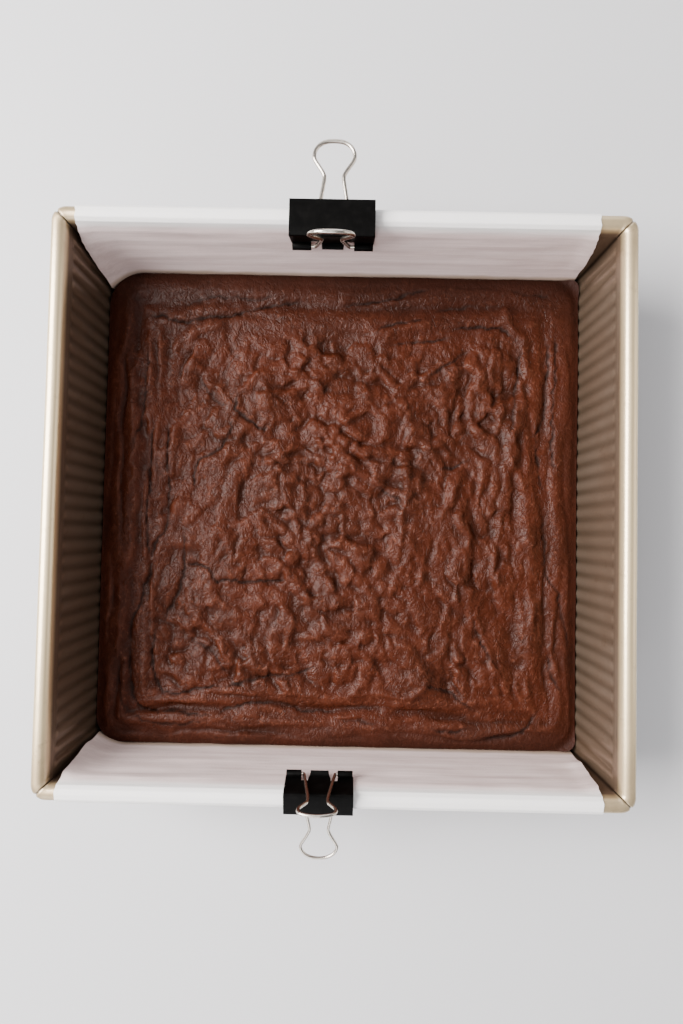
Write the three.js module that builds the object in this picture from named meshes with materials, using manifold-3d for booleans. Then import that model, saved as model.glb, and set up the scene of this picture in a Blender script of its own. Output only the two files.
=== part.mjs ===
// A whole square slab of chocolate brownie, still in its own folded baking tin. A strip of baking
// parchment lines the tin, runs up two walls and over the rim, and a spring clip with two wire
// handles holds it at each end. Millimetres, +Z up, the origin in the middle of the tin's underside.
// The larger clip is on the +Y rim and the smaller one on the -Y rim.
import * as THREE from "three";
import { mergeVertices } from "three/addons/utils/BufferGeometryUtils.js";
import Module from "manifold-3d";

const wasm = await Module();
wasm.setup();

// Tin
const TIN_HEIGHT = 57;
const RIM_HALF = 110;
const MOUTH_HALF = 104;
const MOUTH_Z = 54;
const WALL_FLARE_DEG = 5;
const SHEET = 0.9;
const BASE_FILLET = 1.5;
const BEAD_UNDERSIDE_Z = 51;
const RIB_COUNT = 35;
const RIB_DEPTH = 0.5;
const RIB_LOW_Z = 5.5;
const RIB_HIGH_Z = 48.5;
const RIB_RUN_OUT = 1.3;
const INNER_CORNER_RADIUS = 1.3;
const FOLD_WIDTH = 44;
const FOLD_THICKNESS = 1.1;

// Parchment
const PAPER = 0.3;
const PAPER_GAP = 0.3;
const PAPER_BASE_HALF_WIDTH = 97.3;
const PAPER_TAIL_Z = 37;
const PAPER_RIM_EDGES = { plusY: [-100.2, 95.8], minusY: [-100.6, 98.0] };

// Brownie
const SLAB_BOTTOM_Z = SHEET + PAPER_GAP + PAPER + PAPER_GAP;
const SLAB_TOP_Z = 18.7;
const SLAB_GAP_X = 0.65;
const SLAB_GAP_Y = 1.25;
const SLAB_FOOT_Z = 4.4;
const SLAB_FOOT_INSET = 2.2;
const SLAB_CELLS = 44;
const CRUST_CORNER_BEND = 13;
const SLAB_CORNERS = { plusXplusY: 4, minusXplusY: 9, minusXminusY: 9, plusXminusY: 5 };

// Clips: y and z of the folded strip's outer face, from the jaw inside the tin to the jaw outside
const LARGE_CLIP = {
  centreX: -4.45,
  width: 31.7,
  strip: 0.6,
  barrelRadius: 1.6,
  fold: [[101.35, 45.6], [97.4, 61.5], [111.6, 61.5], [111.5, 45.6]],
  notch: [4.0, 8.35],
  notchDepth: 4.6,
  wireRadius: 0.7,
  pinEnd: 13.2,
  loop: [
    [6.1, 1.5], [5.5, 4], [4.5, 9.5], [3.8, 14], [4.4, 16.4],
    [6.1, 19.2], [7.6, 22], [7.7, 24.4], [6.3, 27], [3.4, 28.9],
  ],
  loopEnd: 29.3,
  innerTurnDeg: 13.4,
  outerTurnDeg: 90,
};
const SMALL_CLIP = {
  centreX: -5.05,
  width: 25.1,
  strip: 0.5,
  barrelRadius: 1.35,
  fold: [[101.1, 48.4], [103.7, 60.8], [112.5, 57.3], [111.45, 45.2]],
  notch: [3.6, 6.9],
  notchDepth: 3.9,
  wireRadius: 0.5,
  pinEnd: 10.6,
  loop: [
    [5.5, 1.2], [5, 3.2], [4.3, 7], [3.6, 10.6], [3.9, 12.6],
    [5.2, 15.2], [6.7, 17.8], [6.9, 19.6], [5.7, 21.8], [3.1, 23.4],
  ],
  loopEnd: 23.9,
  innerTurnDeg: -12.2,
  outerTurnDeg: 105,
};

const TAN_FLARE = Math.tan(THREE.MathUtils.degToRad(WALL_FLARE_DEG));

/** Half the tin's inner width at height z, halfway up a rib's depth. */
function innerHalf(z) {
  return MOUTH_HALF - (MOUTH_Z - z) * TAN_FLARE;
}

/** A closed skin built ring by ring; each ring's points carry their place round the square. */
class Skin {
  constructor() {
    this.vertices = [];
    this.faces = [];
  }

  ring(points) {
    return points.map(({ x, y, z, place }) => {
      this.vertices.push(x, y, z);
      return { index: this.vertices.length / 3 - 1, place };
    });
  }

  band(a, b) {
    let i = 0;
    let j = 0;
    const next = (ring, k) => (k + 1 < ring.length ? ring[k + 1].place : 4);
    while (i < a.length || j < b.length) {
      const from = a[i % a.length].index;
      const across = b[j % b.length].index;
      if (j < b.length && (i >= a.length || next(b, j) <= next(a, i))) {
        this.faces.push(from, across, b[(j + 1) % b.length].index);
        j += 1;
      } else {
        this.faces.push(from, across, a[(i + 1) % a.length].index);
        i += 1;
      }
    }
  }

  cap(ring, z, facesUp) {
    this.vertices.push(0, 0, z);
    const centre = this.vertices.length / 3 - 1;
    ring.forEach((point, k) => {
      const other = ring[(k + 1) % ring.length];
      if (facesUp) this.faces.push(centre, point.index, other.index);
      else this.faces.push(centre, other.index, point.index);
    });
  }

  geometry() {
    const made = new THREE.BufferGeometry();
    made.setAttribute("position", new THREE.Float32BufferAttribute(this.vertices, 3));
    made.setIndex(this.faces);
    return made;
  }
}

/** One rounded square at height z. Its sides can carry a row of ribs, each a ridge and a groove. */
function squareRing(half, radius, z, ribDepth = 0) {
  const points = [];
  const cornerSteps = 3;
  const straight = half - radius;
  for (let side = 0; side < 4; side += 1) {
    const turn = (side * Math.PI) / 2;
    const put = (along, out, place) => {
      // side 0 faces +X and runs from -Y to +Y
      const x = out * Math.cos(turn) - along * Math.sin(turn);
      const y = out * Math.sin(turn) + along * Math.cos(turn);
      points.push({ x, y, z, place });
    };
    for (let k = 0; k <= cornerSteps; k += 1) {
      const angle = ((k / cornerSteps - 1) * Math.PI) / 4;
      // the second half of the corner before this side, and its first point is the diagonal
      const place = side + 0.05 * (k / cornerSteps);
      put(-straight + radius * Math.sin(angle), straight + radius * Math.cos(angle), place);
    }
    if (ribDepth > 0) {
      const spots = 2 * RIB_COUNT;
      for (let k = 1; k < spots; k += 1) {
        const share = k / spots;
        const out = k % 2 ? -ribDepth / 2 : ribDepth / 2;
        put(-straight + 2 * straight * share, half + out, side + 0.05 + 0.9 * share);
      }
    }
    for (let k = 0; k < cornerSteps; k += 1) {
      const angle = ((k / cornerSteps) * Math.PI) / 4;
      const place = side + 0.95 + 0.05 * (k / cornerSteps);
      put(straight + radius * Math.sin(angle), straight + radius * Math.cos(angle), place);
    }
  }
  return points;
}

/** A geometry as a solid for cutting and joining. */
function toSolid(geometry, matrix = new THREE.Matrix4()) {
  const copy = geometry.clone().applyMatrix4(matrix);
  copy.deleteAttribute("normal");
  copy.deleteAttribute("uv");
  const merged = mergeVertices(copy, 1e-4);
  return new wasm.Manifold(
    new wasm.Mesh({
      numProp: 3,
      vertProperties: new Float32Array(merged.attributes.position.array),
      triVerts: new Uint32Array(merged.index.array),
    }),
  );
}

/** A solid as a geometry again. */
function toGeometry(solid) {
  const mesh = solid.getMesh();
  const made = new THREE.BufferGeometry();
  const points = [];
  for (let i = 0; i < mesh.numVert; i += 1) {
    points.push(...mesh.vertProperties.subarray(i * mesh.numProp, i * mesh.numProp + 3));
  }
  made.setAttribute("position", new THREE.Float32BufferAttribute(points, 3));
  made.setIndex(Array.from(mesh.triVerts));
  made.computeVertexNormals();
  return made;
}

/** The tin: base, four ribbed walls, a rolled square bead, and a folded flap beside each corner. */
function tinGeometry() {
  const skin = new Skin();
  const inner = INNER_CORNER_RADIUS;
  const outer = INNER_CORNER_RADIUS + SHEET;
  const rings = [];
  const add = (half, radius, z, ribs = 0) => rings.push(skin.ring(squareRing(half, radius, z, ribs)));
  add(innerHalf(SHEET) - BASE_FILLET, inner, SHEET);
  add(innerHalf(SHEET) - 0.4, inner, SHEET + 0.4);
  add(innerHalf(SHEET + BASE_FILLET), inner, SHEET + BASE_FILLET);
  add(innerHalf(RIB_LOW_Z - RIB_RUN_OUT), inner, RIB_LOW_Z - RIB_RUN_OUT);
  add(innerHalf(RIB_LOW_Z), inner, RIB_LOW_Z, RIB_DEPTH);
  add(innerHalf(RIB_HIGH_Z), inner, RIB_HIGH_Z, RIB_DEPTH);
  add(innerHalf(RIB_HIGH_Z + RIB_RUN_OUT), inner, RIB_HIGH_Z + RIB_RUN_OUT);
  add(MOUTH_HALF - 0.05, 1.2, 53.2);
  add(104.45, 1.4, 55.6);
  add(105.5, 1.8, 56.8);
  add(107, 2.4, TIN_HEIGHT);
  add(108.6, 2.9, 56.75);
  add(109.7, 3.3, 55.6);
  add(RIM_HALF, 3.5, MOUTH_Z);
  add(109.6, 3.3, 52.4);
  add(108.4, 2.9, BEAD_UNDERSIDE_Z + 0.25);
  add(106.8, 2.5, BEAD_UNDERSIDE_Z);
  add(innerHalf(50.6) + SHEET, outer, 50.6);
  add(innerHalf(RIB_HIGH_Z + RIB_RUN_OUT) + SHEET, outer, RIB_HIGH_Z + RIB_RUN_OUT - 0.1);
  add(innerHalf(RIB_HIGH_Z) + SHEET, outer, RIB_HIGH_Z, RIB_DEPTH);
  add(innerHalf(RIB_LOW_Z) + SHEET, outer, RIB_LOW_Z, RIB_DEPTH);
  add(innerHalf(RIB_LOW_Z - RIB_RUN_OUT) + SHEET, outer, RIB_LOW_Z - RIB_RUN_OUT);
  add(innerHalf(2) + SHEET, outer, 2);
  add(innerHalf(0.6) + SHEET - 0.5, outer, 0.5);
  add(innerHalf(0) + SHEET - 2, outer, 0);
  for (let k = 0; k + 1 < rings.length; k += 1) skin.band(rings[k], rings[k + 1]);
  skin.cap(rings[0], SHEET, true);
  skin.cap(rings[rings.length - 1], 0, false);

  let solid = toSolid(skin.geometry());
  for (const wall of [1, -1]) {
    for (const end of [1, -1]) solid = solid.add(toSolid(foldGeometry(end), foldMatrix(wall)));
  }
  return toGeometry(solid);
}

/** A folded flap: a right triangle lying on the outside of a wall, its upright side at the corner. */
function foldGeometry(end) {
  const low = 6.6;
  const high = 48.1;
  const corner = innerHalf(high) - 0.35;
  const foot = innerHalf(low) - 0.35;
  const triangle = new THREE.Shape();
  triangle.moveTo(end * foot, low);
  triangle.lineTo(end * corner, high);
  triangle.lineTo(end * (corner - FOLD_WIDTH), high);
  triangle.lineTo(end * (corner - FOLD_WIDTH + 2.5), high - 3);
  triangle.closePath();
  return new THREE.ExtrudeGeometry(triangle, { depth: FOLD_THICKNESS + 0.5, bevelEnabled: false });
}

/** Puts a flap drawn in its own flat plane against the leaning wall that faces +X or -X. */
function foldMatrix(wall) {
  const lean = Math.atan(TAN_FLARE);
  const out = new THREE.Vector3(Math.cos(lean) * wall, 0, -Math.sin(lean));
  const up = new THREE.Vector3(Math.sin(lean) * wall, 0, Math.cos(lean));
  const along = new THREE.Vector3().crossVectors(up, out);
  const matrix = new THREE.Matrix4().makeBasis(along, up, out);
  const start = innerHalf(0) + SHEET - 0.5;
  return matrix.setPosition(wall * start, 0, 0);
}

/** The parchment strip, as a flat band that follows the tin's section from one tail to the other. */
function parchmentGeometry() {
  const wallOffset = RIB_DEPTH / 2 + PAPER_GAP + PAPER / 2;
  const middle = SHEET + PAPER_GAP + PAPER / 2;
  const over = PAPER_GAP + PAPER / 2;
  const half = [
    [0, middle],
    [innerHalf(SHEET) - 2.2, middle],
    [innerHalf(SHEET) - 1.1, middle + 0.42],
    [innerHalf(3.2) - wallOffset, 3.2],
    [innerHalf(12) - wallOffset, 12],
    [innerHalf(30) - wallOffset, 30],
    [innerHalf(50) - wallOffset, 50],
    [MOUTH_HALF - 0.05 - over, 53.3],
    [104.45 - over * 0.9, 55.6 + over * 0.5],
    [105.5 - over * 0.6, 56.8 + over * 0.8],
    [107, TIN_HEIGHT + over],
    [108.6 + over * 0.4, 56.75 + over * 0.9],
    [109.7 + over * 0.9, 55.6 + over * 0.5],
    [RIM_HALF + over, MOUTH_Z],
    [RIM_HALF + over, 50],
    [RIM_HALF + over, 44],
    [RIM_HALF + over, PAPER_TAIL_Z],
  ];
  const path = [
    ...half.slice(1).reverse().map(([y, z]) => new THREE.Vector2(-y, z)),
    ...half.map(([y, z]) => new THREE.Vector2(y, z)),
  ];
  const share = (z) => Math.min(1, Math.max(0, (z - 6) / (TIN_HEIGHT - 6)));
  const edges = path.map((point) => {
    const ends = point.x > 0 ? PAPER_RIM_EDGES.plusY : PAPER_RIM_EDGES.minusY;
    const lift = Math.min(1, Math.max(0, (point.y - 1.5) / 4.5));
    const atFoot = PAPER_BASE_HALF_WIDTH + 1.5 * lift;
    const grown = share(point.y);
    return [
      THREE.MathUtils.lerp(-atFoot, ends[0], grown),
      THREE.MathUtils.lerp(atFoot, ends[1], grown),
    ];
  });
  const vertices = [];
  const faces = [];
  path.forEach((point, k) => {
    const before = path[Math.max(0, k - 1)];
    const after = path[Math.min(path.length - 1, k + 1)];
    const tangent = after.clone().sub(before).normalize();
    const normal = new THREE.Vector2(-tangent.y, tangent.x).multiplyScalar(PAPER / 2);
    const [left, right] = edges[k];
    for (const side of [1, -1]) {
      const y = point.x + side * normal.x;
      const z = point.y + side * normal.y;
      vertices.push(left, y, z, right, y, z);
    }
  });
  const quad = (a, b, c, d) => faces.push(a, b, c, a, c, d);
  const last = path.length - 1;
  for (let k = 0; k < last; k += 1) {
    const a = 4 * k;
    const b = a + 4;
    quad(a, a + 1, b + 1, b);
    quad(a + 2, b + 2, b + 3, a + 3);
    quad(a, b, b + 2, a + 2);
    quad(a + 1, a + 3, b + 3, b + 1);
  }
  quad(0, 2, 3, 1);
  quad(4 * last, 4 * last + 1, 4 * last + 3, 4 * last + 2);
  const made = new THREE.BufferGeometry();
  made.setAttribute("position", new THREE.Float32BufferAttribute(vertices, 3));
  made.setIndex(faces);
  return made;
}

/** A repeatable value from 0 to 1 for one point of a lattice. */
function latticeValue(i, j, seed) {
  const wave = Math.sin(i * 12.9898 + j * 78.233 + seed * 37.719) * 4375.5453;
  return wave - Math.floor(wave);
}

/** Soft noise from 0 to 1 between the points of a lattice. */
function softNoise(x, y, seed) {
  const i = Math.floor(x);
  const j = Math.floor(y);
  const ease = (t) => t * t * (3 - 2 * t);
  const u = ease(x - i);
  const v = ease(y - j);
  const low = THREE.MathUtils.lerp(latticeValue(i, j, seed), latticeValue(i + 1, j, seed), u);
  const high = THREE.MathUtils.lerp(latticeValue(i, j + 1, seed), latticeValue(i + 1, j + 1, seed), u);
  return THREE.MathUtils.lerp(low, high, v);
}

/** How far a point of the slab lies in from its edge, measured on squares with well rounded corners. */
function edgeDistance(x, y) {
  const half = innerHalf(17) - SLAB_GAP_X;
  const straight = half - CRUST_CORNER_BEND;
  const a = Math.abs(x) - straight;
  const b = Math.abs(y) - straight;
  const reach = a > 0 && b > 0 ? Math.hypot(a, b) : Math.max(a, b);
  return half - straight - reach;
}

/** Height of the crust: a soft shoulder, two low ridges that follow the edge, and an uneven middle. */
function crustHeight(x, y) {
  const hump = (distance, place, spread) => Math.exp(-(((distance - place) / spread) ** 2));
  const wobble = 3 * (softNoise(x / 31, y / 31, 2) - 0.5);
  const distance = edgeDistance(x, y);
  const inwards = distance + wobble;
  const uneven = 0.5 + softNoise(x / 24, y / 24, 5);
  const middle = Math.min(1, Math.max(0, (distance - 12) / 18));
  return (
    SLAB_TOP_Z -
    1.7 * hump(distance, 0, 3) +
    0.65 * hump(inwards, 9.5, 3.4) * uneven -
    0.55 * hump(inwards, 15, 2.6) * uneven +
    0.6 * hump(inwards, 21, 4) * (2 - uneven) +
    middle * 1.5 * (softNoise(x / 17, y / 25, 7) - 0.45) +
    0.7 * (softNoise(x / 9, y / 12, 11) - 0.5)
  );
}

/** Radius of the slab's upright corner in the quadrant of x and y. */
function cornerRadius(x, y) {
  if (x > 0) return y > 0 ? SLAB_CORNERS.plusXplusY : SLAB_CORNERS.plusXminusY;
  return y > 0 ? SLAB_CORNERS.minusXplusY : SLAB_CORNERS.minusXminusY;
}

/** Bends the corner of a square grid round, so that its outline has the given corner radius. */
function roundCorner(x, y, halfX, halfY, radius) {
  const a = Math.abs(x) - (halfX - radius);
  const b = Math.abs(y) - (halfY - radius);
  if (a <= 0 || b <= 0) return [x, y];
  const shrink = Math.max(a, b) / Math.hypot(a, b);
  return [Math.sign(x) * (halfX - radius + a * shrink), Math.sign(y) * (halfY - radius + b * shrink)];
}

/** The brownie: a closed slab with a modelled crust, its sides leaning with the tin's walls. */
function brownieGeometry() {
  const cells = SLAB_CELLS;
  // the box's middle row and its bottom row become the foot and the underside
  const box = new THREE.BoxGeometry(2, 2, 2, cells, cells, 2);
  box.deleteAttribute("normal");
  box.deleteAttribute("uv");
  const made = mergeVertices(box, 1e-5);
  const position = made.attributes.position;
  const spread = (t) => t * (1 + 0.12 * (1 - t * t));
  for (let k = 0; k < position.count; k += 1) {
    const s = spread(position.getX(k));
    const t = spread(position.getY(k));
    const level = Math.round(position.getZ(k));
    const inset = level < 0 ? SLAB_FOOT_INSET : 0;
    const z = level > 0 ? 17 : level < 0 ? SLAB_BOTTOM_Z : SLAB_FOOT_Z;
    const halfX = innerHalf(z) - SLAB_GAP_X - inset;
    const halfY = innerHalf(z) - SLAB_GAP_Y - inset;
    const [x, y] = roundCorner(s * halfX, t * halfY, halfX, halfY, cornerRadius(s, t));
    position.setXYZ(k, x, y, level > 0 ? crustHeight(x, y) : z);
  }
  return flatUnderside(made);
}

/** Joins the slab's flat underside into a few large faces; the solid stays the same. */
function flatUnderside(geometry) {
  const index = geometry.index.array;
  const position = geometry.attributes.position;
  const flat = (k) => Math.abs(position.getZ(k) - SLAB_BOTTOM_Z) < 1e-4;
  const kept = [];
  const edges = new Map();
  for (let k = 0; k < index.length; k += 3) {
    const face = [index[k], index[k + 1], index[k + 2]];
    if (!face.every(flat)) {
      kept.push(...face);
      continue;
    }
    face.forEach((from, n) => {
      const to = face[(n + 1) % 3];
      if (edges.get(to) === from) edges.delete(to);
      edges.set(`${from} ${to}`, [from, to]);
    });
  }
  const rim = [...edges.values()].filter(([from, to]) => !edges.has(`${to} ${from}`));
  const vertices = Array.from(position.array);
  vertices.push(0, 0, SLAB_BOTTOM_Z);
  const centre = vertices.length / 3 - 1;
  rim.forEach(([from, to]) => kept.push(centre, from, to));
  const made = new THREE.BufferGeometry();
  made.setAttribute("position", new THREE.Float32BufferAttribute(vertices, 3));
  made.setIndex(kept);
  return made;
}

/** Moves a line of points to its own inner side by the strip's thickness. */
function offsetLine(points, distance) {
  return points.map((point, k) => {
    const before = points[Math.max(0, k - 1)];
    const after = points[Math.min(points.length - 1, k + 1)];
    const side = (from, to) => {
      const along = to.clone().sub(from).normalize();
      return new THREE.Vector2(along.y, -along.x);
    };
    const first = k > 0 ? side(before, point) : side(point, after);
    const second = k < points.length - 1 ? side(point, after) : side(before, point);
    const normal = first.clone().add(second).normalize();
    return point.clone().addScaledVector(normal, distance / normal.dot(first));
  });
}

/** The folded strip's outer face as a line, its two corners eased by a short cut. */
function foldLine(fold) {
  const corners = fold.map(([y, z]) => new THREE.Vector2(y, z));
  const ease = (corner, towards) => corner.clone().add(towards.clone().sub(corner).setLength(0.8));
  return [
    corners[0],
    ease(corners[1], corners[0]),
    ease(corners[1], corners[2]),
    ease(corners[2], corners[1]),
    ease(corners[2], corners[3]),
    corners[3],
  ];
}

/** The centre of the rolled barrel at one jaw's end. */
function barrelCentre(clip, jaw) {
  const line = jaw === "inner" ? [clip.fold[0], clip.fold[1]] : [clip.fold[3], clip.fold[2]];
  const tip = new THREE.Vector2(...line[0]);
  const up = new THREE.Vector2(...line[1]).sub(tip).normalize();
  const outward = jaw === "inner" ? new THREE.Vector2(-up.y, up.x) : new THREE.Vector2(up.y, -up.x);
  return tip.addScaledVector(outward, clip.barrelRadius - clip.strip).addScaledVector(up, 0.3);
}

/** Turns a flat y-z outline extruded along z into a piece that runs along x from x0. */
function alongX(shape, x0, length) {
  const made = new THREE.ExtrudeGeometry(shape, { depth: length, bevelEnabled: false });
  const matrix = new THREE.Matrix4().set(0, 0, 1, x0, 1, 0, 0, 0, 0, 1, 0, 0, 0, 0, 0, 1);
  return made.applyMatrix4(matrix);
}

/** A round outline with ten flats; a bore's flats lie on its radius and a shaft's corners do. */
function roundOutline(centre, radius, into) {
  const sides = 10;
  const points = [];
  for (let k = 0; k < sides; k += 1) {
    const angle = (2 * Math.PI * (k + 0.5)) / sides;
    const offset = new THREE.Vector2(radius * Math.cos(angle), radius * Math.sin(angle));
    points.push(offset.add(centre));
  }
  return into.setFromPoints(points);
}

/** The sprung body of a clip: a folded strip, a rolled barrel at each jaw's ends, notches between. */
function clipBodyGeometry(clip) {
  const outerLine = foldLine(clip.fold);
  const innerLine = offsetLine(outerLine, clip.strip);
  const strip = new THREE.Shape([...outerLine, ...innerLine.reverse()]);
  let solid = toSolid(alongX(strip, clip.centreX - clip.width / 2, clip.width));
  const bore = (clip.barrelRadius - clip.strip) / Math.cos(Math.PI / 10);
  for (const jaw of ["inner", "outer"]) {
    const centre = barrelCentre(clip, jaw);
    const rollLength = clip.width / 2 - clip.notch[1] - 0.25;
    for (const side of [1, -1]) {
      const start = side > 0 ? clip.notch[1] : -clip.notch[1] - rollLength;
      const roll = roundOutline(centre, clip.barrelRadius, new THREE.Shape());
      solid = solid.add(toSolid(alongX(roll, clip.centreX + start, rollLength)));
      const hole = roundOutline(centre, bore, new THREE.Shape());
      solid = solid.subtract(toSolid(alongX(hole, clip.centreX + start - 1, rollLength + 2)));
      solid = solid.subtract(toSolid(notchGeometry(clip, centre, side)));
    }
  }
  return toGeometry(solid);
}

/** The block that is cut from a jaw's edge, where a leg of the wire handle comes out. */
function notchGeometry(clip, centre, side) {
  const width = clip.notch[1] - clip.notch[0];
  const middle = clip.centreX + (side * (clip.notch[0] + clip.notch[1])) / 2;
  const block = new THREE.BoxGeometry(width, 7, clip.notchDepth + 4);
  return block.translate(middle, centre.x, centre.y + clip.notchDepth / 2 - 2);
}

/** A bent wire handle, lying in its own x-z plane with its pins on the x axis. */
function handleGeometry(clip) {
  const { loop, loopEnd, pinEnd, wireRadius } = clip;
  const half = [[pinEnd, 0], [loop[0][0] + 1.3, 0], [loop[0][0] + 0.35, 0.35], ...loop];
  const left = half.map(([x, z]) => new THREE.Vector3(-x, 0, z));
  const right = half.map(([x, z]) => new THREE.Vector3(x, 0, z)).reverse();
  const bend = [...left, new THREE.Vector3(0, 0, loopEnd), ...right];
  const path = new THREE.CatmullRomCurve3(bend, false, "centripetal");
  const section = new THREE.Shape();
  const sides = 6;
  const points = [];
  for (let k = 0; k < sides; k += 1) {
    const angle = (2 * Math.PI * (k + 0.5)) / sides;
    points.push(new THREE.Vector2(wireRadius * Math.cos(angle), wireRadius * Math.sin(angle)));
  }
  section.setFromPoints(points);
  return new THREE.ExtrudeGeometry(section, { steps: 34, extrudePath: path, bevelEnabled: false });
}

const finish = {
  crust: new THREE.MeshStandardMaterial({ color: 0x4f2a1f, roughness: 0.55, metalness: 0 }),
  gold: new THREE.MeshStandardMaterial({ color: 0xb89b77, roughness: 0.35, metalness: 0.9 }),
  paper: new THREE.MeshStandardMaterial({ color: 0xddd5cd, roughness: 0.8, metalness: 0 }),
  black: new THREE.MeshStandardMaterial({ color: 0x14130f, roughness: 0.35, metalness: 0.3 }),
  wire: new THREE.MeshStandardMaterial({ color: 0xb9b5ae, roughness: 0.25, metalness: 1 }),
};

function named(name, geometry, material) {
  const mesh = new THREE.Mesh(geometry, material);
  mesh.name = name;
  return mesh;
}

/** One clip: its body, and its two handles in groups that turn about the barrels. */
function clipGroup(prefix, clip, facesMinusY) {
  const group = new THREE.Group();
  group.add(named(`${prefix}_clip_body`, clipBodyGeometry(clip), finish.black));
  for (const jaw of ["inner", "outer"]) {
    const centre = barrelCentre(clip, jaw);
    const pivot = new THREE.Group();
    pivot.position.set(clip.centreX, centre.x, centre.y);
    const turn = jaw === "inner" ? clip.innerTurnDeg : -clip.outerTurnDeg;
    pivot.rotation.x = THREE.MathUtils.degToRad(turn);
    pivot.add(named(`${prefix}_clip_${jaw}_handle`, handleGeometry(clip), finish.wire));
    group.add(pivot);
  }
  if (facesMinusY) {
    group.rotation.z = Math.PI;
    group.position.x = 2 * clip.centreX;
  }
  return group;
}

const brownieInTin = new THREE.Group();
brownieInTin.add(
  named("tin", tinGeometry(), finish.gold),
  named("parchment", parchmentGeometry(), finish.paper),
  named("brownie", brownieGeometry(), finish.crust),
  clipGroup("large", LARGE_CLIP, false),
  clipGroup("small", SMALL_CLIP, true),
);

export default brownieInTin;
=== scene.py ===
"""A whole square slab of chocolate brownie, still in its ribbed baking tin, lined with a strip of
parchment that a spring clip with two wire handles holds at each end. Everything is in metres in the
frame of the solids: +Z up, the origin in the middle of the tin's underside, the larger clip at +Y."""
import logging
import math
from dataclasses import dataclass, field
from enum import Enum
from typing import Any, Callable, Sequence

import bpy
import numpy as np
from mathutils import Matrix, Vector


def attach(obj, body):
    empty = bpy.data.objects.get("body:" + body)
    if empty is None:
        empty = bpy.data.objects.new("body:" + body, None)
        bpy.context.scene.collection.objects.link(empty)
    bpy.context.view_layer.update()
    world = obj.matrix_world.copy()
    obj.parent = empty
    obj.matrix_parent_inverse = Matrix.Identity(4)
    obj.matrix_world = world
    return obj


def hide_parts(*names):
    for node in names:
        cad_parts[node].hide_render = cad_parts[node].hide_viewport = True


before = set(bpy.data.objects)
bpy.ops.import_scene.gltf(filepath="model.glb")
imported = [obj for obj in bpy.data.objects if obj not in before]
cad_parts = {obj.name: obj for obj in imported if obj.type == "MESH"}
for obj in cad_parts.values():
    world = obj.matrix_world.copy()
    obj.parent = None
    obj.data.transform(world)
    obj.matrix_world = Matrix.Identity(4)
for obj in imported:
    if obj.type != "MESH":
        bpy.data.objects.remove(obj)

LOG = logging.getLogger("brownie")
MM = 0.001
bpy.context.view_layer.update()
ROOT = "tin_and_contents"
# The share of a side's run, at each of its ends, that goes round the corner
CORNER_SHARE = 0.03
Array = np.ndarray
Piece = bpy.types.Object
Pair = tuple[float, float]
Triple = tuple[float, float, float]


def smooth(low: float, high: float, value: Array) -> Array:
    """Eases from 0 at low to 1 at high."""
    share = np.clip((value - low) / (high - low), 0, 1)
    return share * share * (3 - 2 * share)


class Noise:
    """Repeatable noise on arrays of places."""

    @staticmethod
    def lattice(i: Array, j: Array, seed: float) -> Array:
        """A value from 0 to 1 for each lattice point."""
        wave = np.sin(i * 12.9898 + j * 78.233 + seed * 37.719) * 4375.5453
        return wave - np.floor(wave)

    @classmethod
    def soft(cls, x: Array, y: Array, seed: float) -> Array:
        """Value noise from 0 to 1, the same as the solid slab's."""
        i, j = np.floor(x), np.floor(y)
        u, v = smooth(0, 1, x - i), smooth(0, 1, y - j)
        low = cls.lattice(i, j, seed) * (1 - u) + cls.lattice(i + 1, j, seed) * u
        high = cls.lattice(i, j + 1, seed) * (1 - u) + cls.lattice(i + 1, j + 1, seed) * u
        return low * (1 - v) + high * v

    @classmethod
    def gradient(cls, x: Array, y: Array, seed: float) -> Array:
        """Gradient noise from about -0.7 to 0.7, without the lattice's own grain."""
        i, j = np.floor(x), np.floor(y)
        a, b = x - i, y - j
        u, v = a**3 * (a * (6 * a - 15) + 10), b**3 * (b * (6 * b - 15) + 10)

        def pull(di: int, dj: int) -> Array:
            """The pull of one lattice point's own slope."""
            turn = 2 * math.pi * cls.lattice(i + di, j + dj, seed + 0.37)
            return np.cos(turn) * (a - di) + np.sin(turn) * (b - dj)

        low = pull(0, 0) * (1 - u) + pull(1, 0) * u
        high = pull(0, 1) * (1 - u) + pull(1, 1) * u
        return low * (1 - v) + high * v

    @classmethod
    def drift(cls, x: Array, y: Array, *waves: Triple) -> Array:
        """Sum of gradient noises, each given by its reach and size in millimetres and its seed."""
        return sum(reach * cls.gradient(x / size, y / size, seed) for reach, size, seed in waves)

    @classmethod
    def plates(cls, x: Array, y: Array, seed: float, tilt: float, dome: float, crisp: float) -> Array:
        """Plates about one unit across, each with its own height and tilt.

        Args:
            x: Places along the first axis, in plates.
            y: Places along the second axis, in plates.
            seed: Picks the pattern.
            tilt: How steeply a plate may lean.
            dome: How far a plate's middle stands above its rim.
            crisp: How sharp the creases are where plates meet.

        Returns:
            Heights from about -1 to 1.
        """
        i, j = np.floor(x), np.floor(y)
        total, weights = np.zeros_like(x), np.zeros_like(x)
        for di in (-1, 0, 1):
            for dj in (-1, 0, 1):
                a, b = i + di, j + dj
                dx = x - a - 0.1 - 0.8 * cls.lattice(a, b, seed + 0.11)
                dy = y - b - 0.1 - 0.8 * cls.lattice(a, b, seed + 0.23)
                lean_x = (cls.lattice(a, b, seed + 0.41) - 0.5) * dx
                lean_y = (cls.lattice(a, b, seed + 0.57) - 0.5) * dy
                away = dx * dx + dy * dy
                level = cls.lattice(a, b, seed + 0.31) - 0.5 + 2 * tilt * (lean_x + lean_y) - dome * away
                weight = np.exp(-crisp * away)
                total += weight * level
                weights += weight
        return total / weights


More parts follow.
